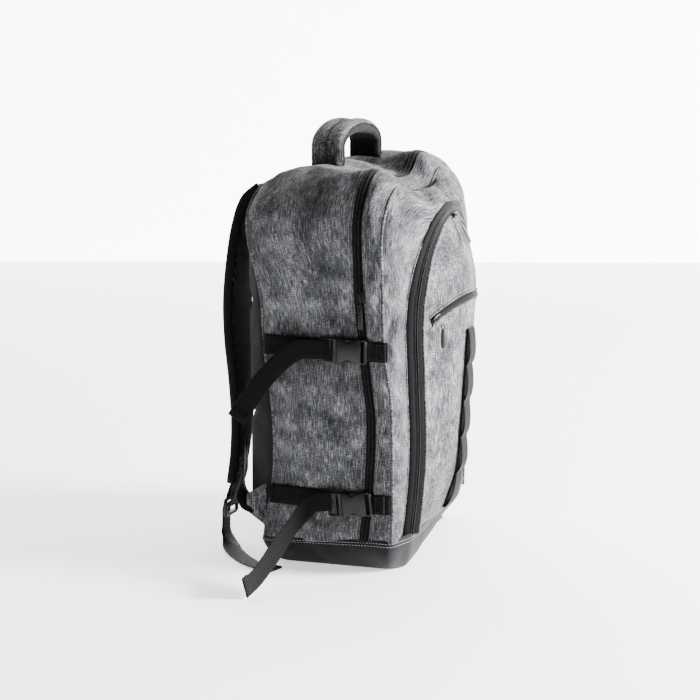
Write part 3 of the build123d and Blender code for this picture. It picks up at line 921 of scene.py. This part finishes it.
# ---- daisy chain ----
daisy = {"base": 56.0, "pitch": 48.2, "loops": 5, "rise": 5.5}
chainPath = []
backing = []
for k in range(97):
    s = k / 96 * daisy["loops"]
    z = daisy["base"] + s * daisy["pitch"]
    f = s % 1.0 if k < 96 else 1.0
    # each loop slumps, so it stands out most low down
    stand = daisy["rise"] * max(0.0, math.sin(math.pi * f)) ** 0.7 * (1 - 0.45 * f)
    chainPath.append(onFlap(0, z - 4.5 * math.sin(math.pi * f) * (1 - f), 1.9 + stand)[0])
    backing.append(onFlap(0, z, 0.9)[0])
pieces = [
    quilt(f"chain{k}", sweep(path, strapProfile(25, 1.5), (1, 0, 0)), wrap=True, caps=True)
    for k, path in enumerate((chainPath, backing))
]
place(join("daisy_chain_webbing", pieces), "flap", ["daisy_chain"], "webbing", nylonWebbing)
tacks = []
for k in range(daisy["loops"] + 1):
    point, normal = onFlap(0, daisy["base"] + k * daisy["pitch"], 2.7)
    for j in range(12):
        tacks.append(
            frames(
                [point + Vector((-11.5 + 2 * j, 0, -1)), point + Vector((-9.5 + 2 * j, 0, 1))], normal,
                2.5, 0.1
            )[0]
        )
place(scatter("daisy_chain_bartacks", bead(2.6, 0.8, 0.6, 6), tacks), "flap", [], None, darkThread)
print("flap made")

# ---- boot ----
# corner points of the right half, from the back to the middle of the front
bootTopEdge = [(160.5, 99), (160.5, -83), (118, -95), (60, -99), (0, -101)]
bootColumns = 170
bootFloor = [(147, 87), (129, -68), (114, -84), (60, -90), (0, -92)]


def bootLoop(z, inset, tuck):
    # outline of the boot at a height: tuck goes from 0 at the top edge to 1 on the floor
    right = []
    for (x0, y0), (x1, y1) in zip(bootTopEdge, bootFloor):
        x, y = mix(x0, x1, tuck), mix(y0, y1, tuck)
        right.append((max(0.0, x - inset), y - inset if y > 0 else y + inset))
    corners = right + [(-x, y) for x, y in reversed(right[:-1])]
    leaning = []
    for x, y in corners:
        atTop = max(farLean(x, 30), frontSkew(x, 30) * min(1.0, max(0.0, (158 - abs(x)) / 38)))
        leaning.append(
            (x, y + mix(atTop, frontSkew(x, 30) * 2, tuck) * min(1.0, max(0.0, (-40 - y) / 40)))
        )
    big = 12 + 14 * tuck
    loop = roundedLoop(leaning, [16 + 8 * tuck, big, 16, 36, 60, 36, 16, big, 16 + 8 * tuck], 5.5)
    loop = [loop[round(k * len(loop) / bootColumns) % len(loop)] for k in range(bootColumns)]
    return [Vector((p.x, p.y, z - (47 - bootTop(p.y)) * (z / 47) ** 2)) for p in loop]


# height, inset and tuck of each row, from inside the top edge down to the floor
bootLevels = [
    (44, 3.5, 0), (46.6, 2.0, 0), (47, 0.6, 0), (45.6, 0, 0), (40, -0.5, 0.01), (31, -0.8, 0.05),
    (22, -0.6, 0.16), (13, 0, 0.36), (6, 0, 0.6), (1.8, 0, 0.8), (0.2, 0, 1)
]
bootRows = [bootLoop(z, inset, tuck) for z, inset, tuck in bootLevels]
for r, row in enumerate(bootRows):
    for p in row:
        side = Vector((p.x, p.y, 0)).normalized()
        ease = bell(r, 6, 2.6)
        p += side * ease * (1.7 * noise.noise(Vector((p.x / 30, p.y / 30, p.z / 18))))
floorRows = [[Vector((p.x * s, (p.y - 4) * s + 4, 0.15)) for p in bootRows[-1]] for s in (0.96, 0.6, 0.0)]
boot = quilt("base_boot_tub", bootRows + floorRows, wrap=True, merge=0.05, away=(0, 0, 20))
place(soften(thicken(boot, 2.2)), "pack", ["base_boot"], "boot", bootCloth)
places = []
for z in (42.6, 38.6):
    loop = bootLoop(z, -0.9, 0.0 if z > 40 else 0.02)
    ups = [Vector((p.x, p.y * 1.2, 0)) for p in loop]
    places += frames(loop + [loop[0]], ups + [ups[0]], 4.2, 0.25)
stitches("base_boot_stitches", places, size=(3.1, 0.9, 0.7))
print("boot made")

# ---- back pad ----
pad = {"half": 156.0, "top": 491.0, "corner": 63.0, "base": 46.0, "face": 118.0}


def padPoint(half, t):
    x, z, nx, nz = archPoint(
        half, pad["top"] - (pad["half"] - half), max(0.02, min(pad["corner"], half)), pad["base"], t
    )
    depth = min(pad["half"] - half, max(0.0, z - pad["base"]))
    ease = math.sin(min(1.0, depth / 26) * math.pi / 2) ** 0.8
    channel = 7.5 * bell(x, 0, 9) + 5.5 * (bell(z, 338, 8) + bell(z, 196, 8)) * (abs(x) < 140)
    y = mix(along(backSeam, z) + 1.0, pad["face"] + 3.0 - channel, ease)
    return Vector((x, y, z))


padHalves = [
    156, 154, 150, 145, 139, 132, 124, 115, 105, 95, 85, 75, 65, 55, 45, 36, 28, 21, 15, 10, 6, 3, 0
]
padRows = [[padPoint(h, c / 150) for c in range(151)] for h in padHalves]
held = [
    1.0 if r < 2 or p.z < 52 or abs(p.x) < 8 or abs(p.z - 338) < 6 or abs(p.z - 196) < 6 else 0.0
    for r, row in enumerate(padRows) for p in row
]
backPad = quilt("back_pad_mesh", padRows, away=inside)
settle(backPad, held, grow=0.01, press=1.6, stiff=6.0, cap=3.0)
merged = bmesh.new()
merged.from_mesh(backPad.data)
bmesh.ops.remove_doubles(merged, verts=merged.verts, dist=0.02 * mm)
merged.to_mesh(backPad.data)
merged.free()
place(soften(thicken(backPad, 3.0)), "pack", ["back_pad"], "spacer_mesh", spacerMesh)
print("back pad made")


def both(obj, title, body, nodes, slotName, material, post=None, blend=None):
    # a piece on the wearer's left and its mirror image on the right
    pieces = (("left", 1, obj), ("right", -1, mirrored(obj, title + "_other")))
    for side, sign, piece in pieces:
        piece.name = f"{title}_{side}"
        if post:
            post(piece)
        bend = None
        if blend:
            (x0, y0, z0), (x1, y1, z1) = blend[1], blend[2]
            bend = (blend[0].format(side), (x0 * sign, y0, z0), (x1 * sign, y1, z1))
        place(piece, body.format(side), [n.format(side) for n in nodes], slotName, material, bend)


def tape(title, path, sides, width=25.0, thick=1.6, step=5.0):
    # webbing along a path; sides is its width direction, one or one for each point
    fine = smoothPath(path, step)
    if isinstance(sides, list):
        last = len(sides) - 1
        spread = []
        for k in range(len(fine)):
            s = k / (len(fine) - 1) * last
            i = min(int(s), last - 1)
            spread.append(Vector(sides[i]).lerp(Vector(sides[i + 1]), s - i))
        sides = spread
    return quilt(title, sweep(fine, strapProfile(width, thick), sides), wrap=True, caps=True)


# ---- shoulder straps ----
strapPath = [
    (-70, 122, 480), (-71, 142, 463), (-74, 153, 432), (-78, 160, 385), (-79, 165, 332), (-80, 164, 280),
    (-81, 160, 226), (-84, 158, 173), (-88, 160, 125), (-92, 166, 84)
]
fine = smoothPath(strapPath, 6)
widths = [
    along(
        [(0, 1.0), (0.5, 0.98), (0.66, 0.84), (0.78, 0.68), (0.9, 0.54), (0.965, 0.46), (1, 0.4)],
        k / (len(fine) - 1)
    )
    for k in range(len(fine))
]
strapRows = sweep(fine, boxProfile(65, 12, 5.2), (1, 0, 0), flare=widths)
strapPad = quilt("strap_pad", strapRows, wrap=True, caps=True)
held = [1.0 if r < 3 or r > len(strapRows) - 3 else 0.0 for r, row in enumerate(strapRows) for p in row]
settle(strapPad, held, grow=0.005, press=3.0, stiff=8.0, cap=1.6)
both(strapPad, "strap_pad_cloth", "strap_{}", ["strap_pad_{}"], "cloth", heatherFlat, soften)
inner = []
for k, p in enumerate(fine[5:-6]):
    run = (fine[k + 6] - fine[k + 4]).normalized()
    facing = Vector((1, 0, 0)).cross(run)
    inner.append(p + facing * (6.4 if facing.y < 0 else -6.4))
liner = quilt(
    "strap_liner", sweep(inner, boxProfile(55, 2.6, 1.2), (1, 0, 0), flare=widths[5:-6]), wrap=True,
    caps=True
)
both(liner, "strap_mesh_lining", "strap_{}", ["strap_lining_{}"], "spacer_mesh", spacerMesh)
edges = []
for sign in (-1, 1):
    path = [p + Vector((sign * (31.4 * w - 0.2), 0, 0)) for p, w in zip(fine, widths)]
    edges.append(
        quilt(
            f"edge{sign}", sweep(path, roundProfile(6.6, 10, 0.45), [Vector((0, 1, 0.2))] * len(path)),
            wrap=True, caps=True
        )
    )
both(join("strap_binding", edges), "strap_edge_binding", "strap_{}", [], "webbing", nylonWebbing)
loop = tape(
    "loop", [(-91.6, 162, 96), (-92.4, 165.4, 84), (-94, 169, 73), (-95, 171.2, 64), (-95, 171, 60.5)],
    (1, 0, 0), 25, 3.0, 3
)
both(loop, "strap_end_loop_webbing", "strap_{}", ["strap_end_loop_{}"], "webbing", nylonWebbing)


def ring(title, outline, width, thick, corner, plane):
    # moulded frame: a rounded bar carried round a closed outline
    loop = [plane(p) for p in outline]
    normal = (loop[1] - loop[0]).cross(loop[len(loop) // 3] - loop[0]).normalized()
    rows = sweep(loop, [(b, a) for a, b in boxProfile(width, thick, corner)], normal, closed=True)
    return quilt(title, rows, wrap=True, merge=0.01)


def bar(title, start, end, width, thick, side):
    # moulded cross bar with rounded edges
    a, b = Vector(start), Vector(end)
    return quilt(
        title, sweep([a, a.lerp(b, 0.5), b], boxProfile(width, thick, min(width, thick) * 0.32), side),
        wrap=True, caps=True
    )


lockOutline = roundedLoop([(-17, 40), (17, 40), (17, 62), (-17, 62)], 3.5, 2.0)
lockParts = [ring("frame", lockOutline, 4.4, 4.6, 1.4, lambda p: Vector((p.x - 95, 171, p.y)))]
lockParts.append(bar("middle", (-111, 171, 52.5), (-79, 171, 52.5), 4.4, 4.2, (0, 0, 1)))
lockParts.append(bar("lip", (-109, 174.4, 41), (-81, 174.4, 41), 3.0, 5.0, (0, 0, 1)))
both(
    join("lock", lockParts, sharp=50), "ladder_lock_moulding", "lock_{}", ["ladder_lock_{}"], "buckle",
    acetal
)
tailPath = [
    (-95, 169.6, 55.6), (-95, 175.4, 55), (-95, 177.4, 50), (-95, 178, 34), (-98, 176.5, 16),
    (-108, 166, 6.2), (-131, 152, 3.2), (-158, 127, 2.2), (-180, 97, 2.0), (-190, 61, 2.0)
]
turns = [(1, 0, 0)] * 3 + [
    (0.96, 0.1, 0), (0.85, -0.5, 0), (0.62, -0.78, 0), (0.62, -0.78, 0), (0.72, -0.7, 0), (0.9, -0.42, 0),
    (1, -0.2, 0)
]
parts = [
    tape("run", tailPath, turns, 24, 1.5, 4),
    tape("hem", [(-187.6, 73, 3.2), (-190, 61, 3.3)], (1, -0.2, 0), 24, 1.4, 4)
]
both(
    join("adjusterTail", parts), "adjuster_tail_webbing", "lock_{}", ["adjuster_tail_{}"], "webbing",
    nylonWebbing
)
adjusterPath = [
    (-152, 108, 73), (-150, 120, 76), (-140, 130, 92), (-130, 134, 114), (-119, 138, 131),
    (-110, 141, 135), (-104, 144, 126), (-99.5, 149, 102), (-96, 159, 76), (-95, 167, 57),
    (-95, 170.2, 50.2)
]
turns = [
    (0.25, 0.1, 0.97), (0.6, 0.1, 0.7), (0.85, 0.25, 0.2), (0.93, 0.36, 0), (0.93, 0.36, 0),
    (0.94, 0.3, 0), (0.97, 0.2, 0)
] + [(1, 0, 0)] * 4
run = tape("adjuster", adjusterPath, turns, 24, 1.5, 4)
both(
    run, "adjuster_web_run", "pack", ["adjuster_webbing_{}"], "webbing", nylonWebbing,
    blend=("strap_{}", (-140, 128, 90), (-97, 156, 84))
)
tabRows = []
for k in range(9):
    f = k / 8
    y, lowZ, highZ = mix(90, 121, f), mix(46, 63, f), mix(106, 86, f)
    x = mix(-157, -152, f)
    tabRows.append(
        [Vector((x - 0.8 * math.sin(math.pi * j / 10), y, mix(lowZ, highZ, j / 10))) for j in range(11)]
    )
both(
    quilt("tab", tabRows, away=(0, 100, 75)), "strap_tab_cloth", "pack", ["strap_tab_{}"], "cloth",
    heatherFlat, lambda o: soften(thicken(o, 3.0))
)
print("straps made")

# ---- compression straps and side-release buckles ----
buckle = {"front": -52.0, "socket": 38.0, "out": -165.3}
seam = buckle["front"] + buckle["socket"]


pivot = Matrix.Translation(Vector((0, -30, 93)) * mm)
tip = pivot @ Matrix.Rotation(math.radians(-6.0), 4, "X") @ pivot.inverted()
lowerHang = Matrix.Translation(Vector((0, -7, -1)) * mm) @ tip


def hang(obj, level):
    # the lower buckle sits a little forward of the upper one and tips down at the back
    if level == "lower":
        obj.data.transform(lowerHang)
    return obj


heights = {"upper": 287.0, "lower": 93.0}
tails = {
    "upper": [
        (-166.4, -5, 287), (-170.6, -1, 287.5), (-172, 5, 288), (-172.4, 12, 288), (-175, 40, 284),
        (-181, 75, 253), (-186, 97, 222), (-190.5, 115, 194),
    ],
    "lower": [
        (-166.4, -5, 93), (-170.6, -1, 93), (-172, 5, 92.5), (-173, 12, 91.5), (-175, 20, 88),
        (-188, 31, 72), (-216, 40, 51), (-241, 46, 33), (-274, 49, 18.5), (-307, 50, 13.6),
    ],
}
for level, z0 in heights.items():
    body = []
    for k in range(20):
        y = mix(-45, seam, k / 19)
        high = 2 * (16 - 4.6 * bell(y, -27, 5.5) - 0.8 * bell(y, -45, 2))
        thick = along([(-45, 6.4), (-41, 8.2), (-34, 9.2), (-14, 9.4)], y)
        body.append([Vector((buckle["out"] + b, y, z0 + a)) for a, b in boxProfile(high, thick, 2.7)])
    parts = [quilt("body", body, wrap=True, caps=True)]
    outline = roundedLoop([(-50.4, -14.2), (-43, -14.2), (-43, 14.2), (-50.4, 14.2)], 2.4, 1.6)
    parts.append(
        ring("bar", outline, 3.2, 5.0, 1.2, lambda p: Vector((buckle["out"] + 0.6, p.x, z0 + p.y)))
    )
    both(
        hang(join("socket", parts, sharp=50), level), f"buckle_socket_{level}_moulding", "pack",
        [f"buckle_socket_{level}_{{}}"], "buckle", acetal
    )
    outline = roundedLoop([(-11.6, -14), (6, -14), (6, 14), (-11.6, 14)], 2.6, 1.8)
    parts = [ring("frame", outline, 3.6, 6.6, 1.5, lambda p: Vector((buckle["out"], p.x, z0 + p.y)))]
    parts.append(
        bar("middle", (buckle["out"], -3.4, z0 - 14), (buckle["out"], -3.4, z0 + 14), 3.4, 5.4, (0, 1, 0))
    )
    parts.append(
        bar(
            "root", (buckle["out"], -10.4, z0 - 14.4), (buckle["out"], -10.4, z0 + 14.4), 6.0, 8.2,
            (0, 1, 0)
        )
    )
    for sign in (-1, 1):
        prong = []
        for k in range(14):
            y = mix(-12, -36, k / 13)
            reach = along([(-36, 9.5), (-33, 12), (-27, 13.2), (-20, 11.4), (-12, 10.4)], y)
            prong.append(
                [
                    Vector((buckle["out"] + b, y, z0 + sign * reach + a))
                    for a, b in boxProfile(3.4, 5.0, 1.2)
                ]
            )
        parts.append(quilt("prong", prong, wrap=True, caps=True))
    both(
        hang(join("plug", parts, sharp=50), level), f"buckle_plug_{level}_moulding", f"plug_{level}_{{}}",
        [f"buckle_plug_{level}_{{}}"], "buckle", acetal
    )

    path = [(-167.6, -3.2, z0), (-165.6, 1.6, z0), (-164.2, 6, z0)]
    path += [(min(sideX(y, z0), -158.5) - 1.5, y, z0) for y in (14, 24, 34, 44, 54, 64, 74, 82)]
    path.append((min(sideX(86, z0), -157) - 1.0, along(backSeam, z0) - 1, z0))
    run = tape("web", path, (0, 0, 1), 25, 1.6, 4)
    both(
        run, f"compression_web_{level}_run", "pack", [f"compression_web_{level}_{{}}"], "webbing",
        nylonWebbing, blend=(f"plug_{level}_{{}}", (-161, 84, z0), (-161, 20, z0))
    )
    spots = tails[level]
    turn = (0, 0.2, 0.98) if level == "upper" else [(0, 0, 1)] * 4 + [(0, 0.1, 0.99)] + [(0, 0.2, 0.97)] * 5
    end, before = Vector(spots[-1]), Vector(spots[-2])
    back = (before - end).normalized() * 12
    out = Vector((-1.5, 0, 0)) if level == "upper" else Vector((-0.6, 0, 1.5))
    parts = [
        tape("run", spots, turn, 25, 1.6, 4),
        tape("hem", [end + out, end + back * 0.5 + out, end + back + out], (0, 0.2, 0.97), 25, 1.5, 4)
    ]
    both(
        join("tail", parts), f"web_tail_{level}_webbing", f"tail_{level}_{{}}",
        [f"web_tail_{level}_{{}}"], "webbing", nylonWebbing
    )

anchors = []
for z0 in heights.values():
    for lift, start in ((1.5, -77 if z0 > 200 else -83), (3.1, -75)):
        path = [
            (min(sideX(y, z0), -156.5) - lift, y, z0) for y in (start, -73, -68, -60)
        ] + [(-164.6, -52, z0), (-166.4, -47.4, z0)]
        anchors.append(tape("anchor", path, (0, 0, 1), 25, 1.6, 4))
left = join("anchors", anchors)
right = mirrored(left, "anchorsRight")
for v in right.data.vertices:
    # the far side's runs follow the leaning corner seam
    x, y, z = v.co / mm
    v.co.y += farLean(157, z) * min(1.0, max(0.0, (-58 - y) / 18)) * mm
place(join("anchor_webbing_runs", [left, right]), "pack", ["anchor_webbing"], "webbing", nylonWebbing)
places = []
for z0 in heights.values():
    for sign in (-1, 1):
        box = [(-74.5, -9.5), (-63, -9.5), (-63, 9.5), (-74.5, 9.5), (-74.5, -9.5), (-63, 9.5)]
        path = [(sign * (abs(min(sideX(y, z0), -156.5)) + 4.2), y, z0 + dz) for y, dz in box]
        for a, b in zip(path, path[1:]):
            places += frames([a, b], (sign, 0, 0), 3.0, 0.0)
place(scatter("anchor_box_stitches", bead(2.3, 0.7, 0.6, 6), places), "pack", [], None, darkThread)
print("buckles made")


# ---- sliders and pulls ----
def sliderShape(title):
    # slider in its own frame: zip along X, top towards Z
    body = []
    for k in range(11):
        x = mix(-6.8, 6.8, k / 10)
        width = along([(-6.8, 5.6), (-3, 8.4), (2, 9.2), (6.8, 7.2)], x)
        body.append([Vector((x, a, 1.3 + b)) for a, b in boxProfile(width, 2.7, 0.9)])
    bridge = smoothPath([(-4.6, 0, 2.4), (-3.6, 0, 4.2), (0, 0, 4.9), (3.6, 0, 4.2), (4.6, 0, 2.4)], 0.9)
    return join(
        title,
        [quilt("plate", body, wrap=True, caps=True), tube("bridge", bridge, 1.0, (0, 1, 0), sides=6)],
        sharp=50
    )


def pullShape(title, long=27.0):
    # pull in its own frame: eye at the origin, hanging along -Y, face towards Z
    eye = [
        Vector((2.5 * math.cos(a * math.pi / 8), 2.9 * math.sin(a * math.pi / 8), 0)) for a in range(16)
    ]
    parts = [
        quilt("eye", sweep(eye, roundProfile(0.75, 6), (0, 0, 1), closed=True), wrap=True, merge=0.01)
    ]
    rows = []
    for k in range(13):
        y = mix(-2.6, -long, k / 12)
        f = k / 12
        width = along([(0, 3.6), (0.12, 5.2), (0.5, 5.6), (0.85, 6.2), (0.96, 5.6), (1, 4.2)], f)
        thick = along([(0, 1.6), (0.2, 2.1), (0.9, 2.3), (1, 1.4)], f) + 0.3 * (k % 2) * (3 < k < 11)
        rows.append([Vector((a, y, b)) for a, b in boxProfile(width, thick, 0.65)])
    parts.append(quilt("tab", rows, wrap=True, caps=True))
    return join(title, parts, sharp=50)


def settleAt(obj, origin, xAxis, zAxis):
    # turn and move the mesh itself, so the object stays at the origin
    z = Vector(zAxis).normalized()
    x = (Vector(xAxis) - z * Vector(xAxis).dot(z)).normalized()
    basis = Matrix((x, z.cross(x), z)).transposed().to_4x4()
    basis.translation = Vector(origin) * mm
    obj.data.transform(basis)
    return obj


pivots = {j["name"]: Vector(j["pos_m"]) / mm for j in frame["joints"] if "pos_m" in j}
slider = settleAt(sliderShape("slider"), (-160.9, -44, 355), (0, 0, 1), (-1, 0, 0))
both(slider, "main_slider_casting", "main_slider_{}", ["main_slider_{}"], "slider", zinc)
pull = settleAt(pullShape("pull"), pivots["main_pull_left_lift"], (0, -1, 0), (-1, 0, 0))
both(pull, "main_pull_moulding", "main_pull_{}", ["main_pull_{}"], "pull", acetal)
slider = settleAt(sliderShape("front_slider_casting"), (0, -108.4, 443.4), (1, 0, 0), (0, -1, 0))
place(slider, "front_slider", ["front_slider"], "slider", zinc)
lean = math.radians(27.6)
pull = settleAt(
    pullShape("front_pull_moulding", 29.0), pivots["front_pull_lift"], (1, 0, 0),
    (0, -math.cos(lean), math.sin(lean))
)
place(pull, "front_pull", ["front_pull"], "pull", pullRubber)
lowest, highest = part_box("chest_slider")
spot = (Vector(lowest) + Vector(highest)) / 2 / mm
seat, normal = onFlap(spot.x, spot.z, 1.7)
ahead = onFlap(spot.x + 6, spot.z + 2.9, 1.7)[0]
place(
    settleAt(sliderShape("chest_slider_casting"), seat, ahead - seat, normal), "chest_slider",
    ["chest_slider"], "slider", zinc
)
hangs = pivots["chest_pull_lift"] + Vector((-2, 1.5, 2.5))  # the cloth stands a little behind the pivot
pull = settleAt(pullShape("chest_pull_moulding"), hangs, (0.7, -0.71, 0), (-0.71, -0.7, 0.06))
place(pull, "chest_pull", ["chest_pull"], "pull", acetal)
print("sliders made")

# ---- grab handle ----
grab = {"y": 41.0, "half": 68.5, "rise": 27.5, "foot": 531.9}
handleBend = ("handle", (0, 41, 515), (0, 41, 541))  # the handle and a span across its feet, z 515 to 541; place only bakes the pieces given it where they stand


def handlePath(half, rise, foot, lowest):
    points = [(-half - 1.5, grab["y"], lowest), (-half - 0.6, grab["y"], (lowest + foot) / 2)]
    points += [
        (-half * math.cos(math.radians(a)), grab["y"], foot + rise * math.sin(math.radians(a)))
        for a in range(0, 181, 12)
    ]
    points += [(half + 0.6, grab["y"], (lowest + foot) / 2), (half + 1.5, grab["y"], lowest)]
    return smoothPath(points, 4)


profile = []
for k in range(17):
    # two padded lobes on top, with a seam between them
    a = mix(-21.4, 21.4, k / 16)
    profile.append((a, -(1.0 + 3.1 * abs(math.sin(math.pi * a / 21.4)) ** 0.55) if 0 < k < 16 else -0.2))
profile += [(20.6, 2.2), (14, 3.2), (7, 3.2), (0, 3.0), (-7, 3.2), (-14, 3.2), (-20.6, 2.2)]
path = handlePath(grab["half"], grab["rise"], grab["foot"], 497)
side = (0, -1, 0)
coverRows = sweep(path, profile, side)
for r, row in enumerate(coverRows):
    edge = min(r, len(coverRows) - 1 - r)
    for k, p in enumerate(row):
        # creases that fan out from the feet
        p.x += (1 if p.x > 0 else -1) * 0.9 * math.cos(k * 1.9) * bell(edge, 3, 2.5)
        p.x += (1 if p.x > 0 else -1) * 2.2 * bell(edge, 0, 2.2)
cover = quilt("handle_cover_cloth", coverRows, wrap=True, caps=True)
held = [
    1.0 if r < 4 or r > len(coverRows) - 5 or k in (8, 19) else 0.0 for r in range(len(coverRows))
    for k in range(len(profile))
]
settle(cover, held, grow=0.02, press=3.0, stiff=2.0, cap=1.2)
place(soften(cover), "pack", ["handle_cover"], "cloth", heatherFlat, blend=handleBend)
gripPath = handlePath(61.5, 20, grab["foot"], 503)
gripRows = []
for r, row in enumerate(sweep(gripPath, boxProfile(43.4, 9, 4.2), side)):
    swell = 1 + 0.28 * abs(math.sin(r * math.pi / 7))
    centre = sum(row, Vector()) / len(row)
    gripRows.append(
        [
            centre + Vector(
                (
                    (p.x - centre.x) * swell, (p.y - centre.y) * (0.94 + 0.06 * swell),
                    (p.z - centre.z) * swell
                )
            )
            for p in row
        ]
    )
grip = quilt("handle_grip_mesh", gripRows, wrap=True, caps=True)
place(soften(grip), "pack", ["handle_grip"], "spacer_mesh", spacerMesh, blend=handleBend)
seamLines = []
for sign in (-1, 1):
    line = [p + Vector((0, sign * 20.6, 0)) for p in path[4:-4]]
    seamLines.append(tube("edge", line, 1.2, (0, 1, 0)))
place(join("handle_edge_piping", seamLines), "pack", [], "cloth", heatherFlat, blend=handleBend)
line = [p + (p - Vector((0, 41, grab["foot"] - 10))).normalized() * 1.6 for p in path[3:-3]]
place(tube("handle_middle_seam", line, 0.8, (0, 1, 0)), "pack", [], None, darkThread, blend=handleBend)
print("handle made")

# ---- pocket linings ----
rows = []
for half in (150, 148, 120, 80, 40, 0):
    outline = [archPoint(half, 316 + half, max(0.02, min(60, half)), 48, c / 90) for c in range(91)]
    rows.append([Vector((x, along(cornerSeam, z) + 3 + 0.2 * max(0, x), z)) for x, z, nx, nz in outline])
divider = quilt("pocket_divider_lining", rows, merge=0.02, away=behindFront)
place(thicken(divider, 1.2), "pack", ["pocket_divider"], "lining", lining)
rows = [[Vector((x, flapY(x, z) + 9, z)) for x in range(-84, 85, 12)] for z in range(56, 345, 16)]
bag = quilt("chest_pocket_bag_lining", rows, away=behindFront)
place(thicken(bag, 1.2), "flap", ["chest_pocket_bag"], "lining", lining)

rows = []
for k in range(33):
    z = 13 + 13.9 * k
    wide = 146 - (58 - math.sqrt(max(0.0, 58**2 - max(0, z - 404) ** 2)))
    rows.append(
        [Vector((wide * c / 36, along(backSeam, z) - 4 - 3 * (c / 36) ** 2, z)) for c in range(-36, 37)]
    )
backPanel = quilt("back_panel_lining", rows, away=(0, -60, 240))
place(thicken(backPanel, 1.6), "pack", ["back_panel"], "lining", lining)
rows = [
    [Vector((x * (1 if y > -40 else 0.94), y, 5.5)) for x in range(-120, 121, 20)]
    for y in range(-58, 79, 17)
]
board = quilt("base_board_sheet", rows, away=(0, 0, -240))
place(thicken(board, 2.5), "pack", ["base_board"], "stiffener", sheetPlastic)

# ---- inside pieces keep their shape ----
for name, finish in (("laptop_sleeve", lining), ("frame_sheet", sheetPlastic)):
    node = frame["nodes"][name]
    node.data.materials.clear()
    node.data.materials.append(finish)

# ---- floor, light and camera ----
plane = bmesh.new()
bmesh.ops.create_grid(plane, x_segments=1, y_segments=1, size=8)
floor = keep("floor", plane)


def paper(name, glow):
    # matt white background paper, lit evenly by itself so that it stays pale
    made, tree, shader = blank(name, 0.9)
    shader.inputs["Base Color"].default_value = linear("#f4f4f4")
    shader.inputs["Emission Color"].default_value = (1, 1, 1, 1)
    shader.inputs["Emission Strength"].default_value = glow
    return made


floor.data.materials.append(paper("paper_backdrop_matt_white", 0.9))

world = bpy.data.worlds.new("studio")
bpy.context.scene.world = world
world.use_nodes = True
world.node_tree.nodes["Background"].inputs[0].default_value = (1, 1, 1, 1)
world.node_tree.nodes["Background"].inputs[1].default_value = 0.15


def areaLight(title, spot, aim, size, power):
    lamp = bpy.data.lights.new(title, "AREA")
    lamp.size, lamp.energy = size, power
    obj = bpy.data.objects.new(title, lamp)
    obj.location = spot
    obj.rotation_euler = (Vector(aim) - Vector(spot)).to_track_quat("-Z", "Y").to_euler()
    bpy.context.scene.collection.objects.link(obj)


areaLight("key", (0.7, -2.8, 0.95), (0, 0, 0.28), 1.0, 800)
areaLight("fill", (-2.4, 0.6, 2.2), (0, 0, 0.28), 1.6, 8)
wall = bmesh.new()
bmesh.ops.create_grid(wall, x_segments=1, y_segments=1, size=5)
turn = math.radians(-68.7)  # the camera stands this far round from the front
upright = Matrix.Rotation(turn, 4, "Z") @ Matrix.Rotation(math.pi / 2, 4, "X")
bmesh.ops.transform(wall, matrix=Matrix.Translation((2.6, 1.0, 2.0)) @ upright, verts=wall.verts)
backdrop = keep("backdrop", wall)
backdrop.data.materials.append(paper("paper_backdrop_lit_white", 6.0))

view = {"distance": 2.3, "height": 0.687, "aim": 0.262, "lens": 90.27, "aside": 0.0346, "lower": 0.004}
eye = Vector((math.sin(turn) * view["distance"], -math.cos(turn) * view["distance"], view["height"]))
middle = Vector((0, 0, view["aim"]))
look = (middle - eye).normalized()
right = look.cross(Vector((0, 0, 1))).normalized()
above = right.cross(look)
camera = bpy.data.cameras.new("camera")
camera.lens = view["lens"]
cameraObject = bpy.data.objects.new("camera", camera)
cameraObject.location = eye
aim = middle - right * view["aside"] - above * view["lower"]
cameraObject.rotation_euler = (aim - eye).to_track_quat("-Z", "Y").to_euler()
bpy.context.scene.collection.objects.link(cameraObject)
bpy.context.scene.camera = cameraObject
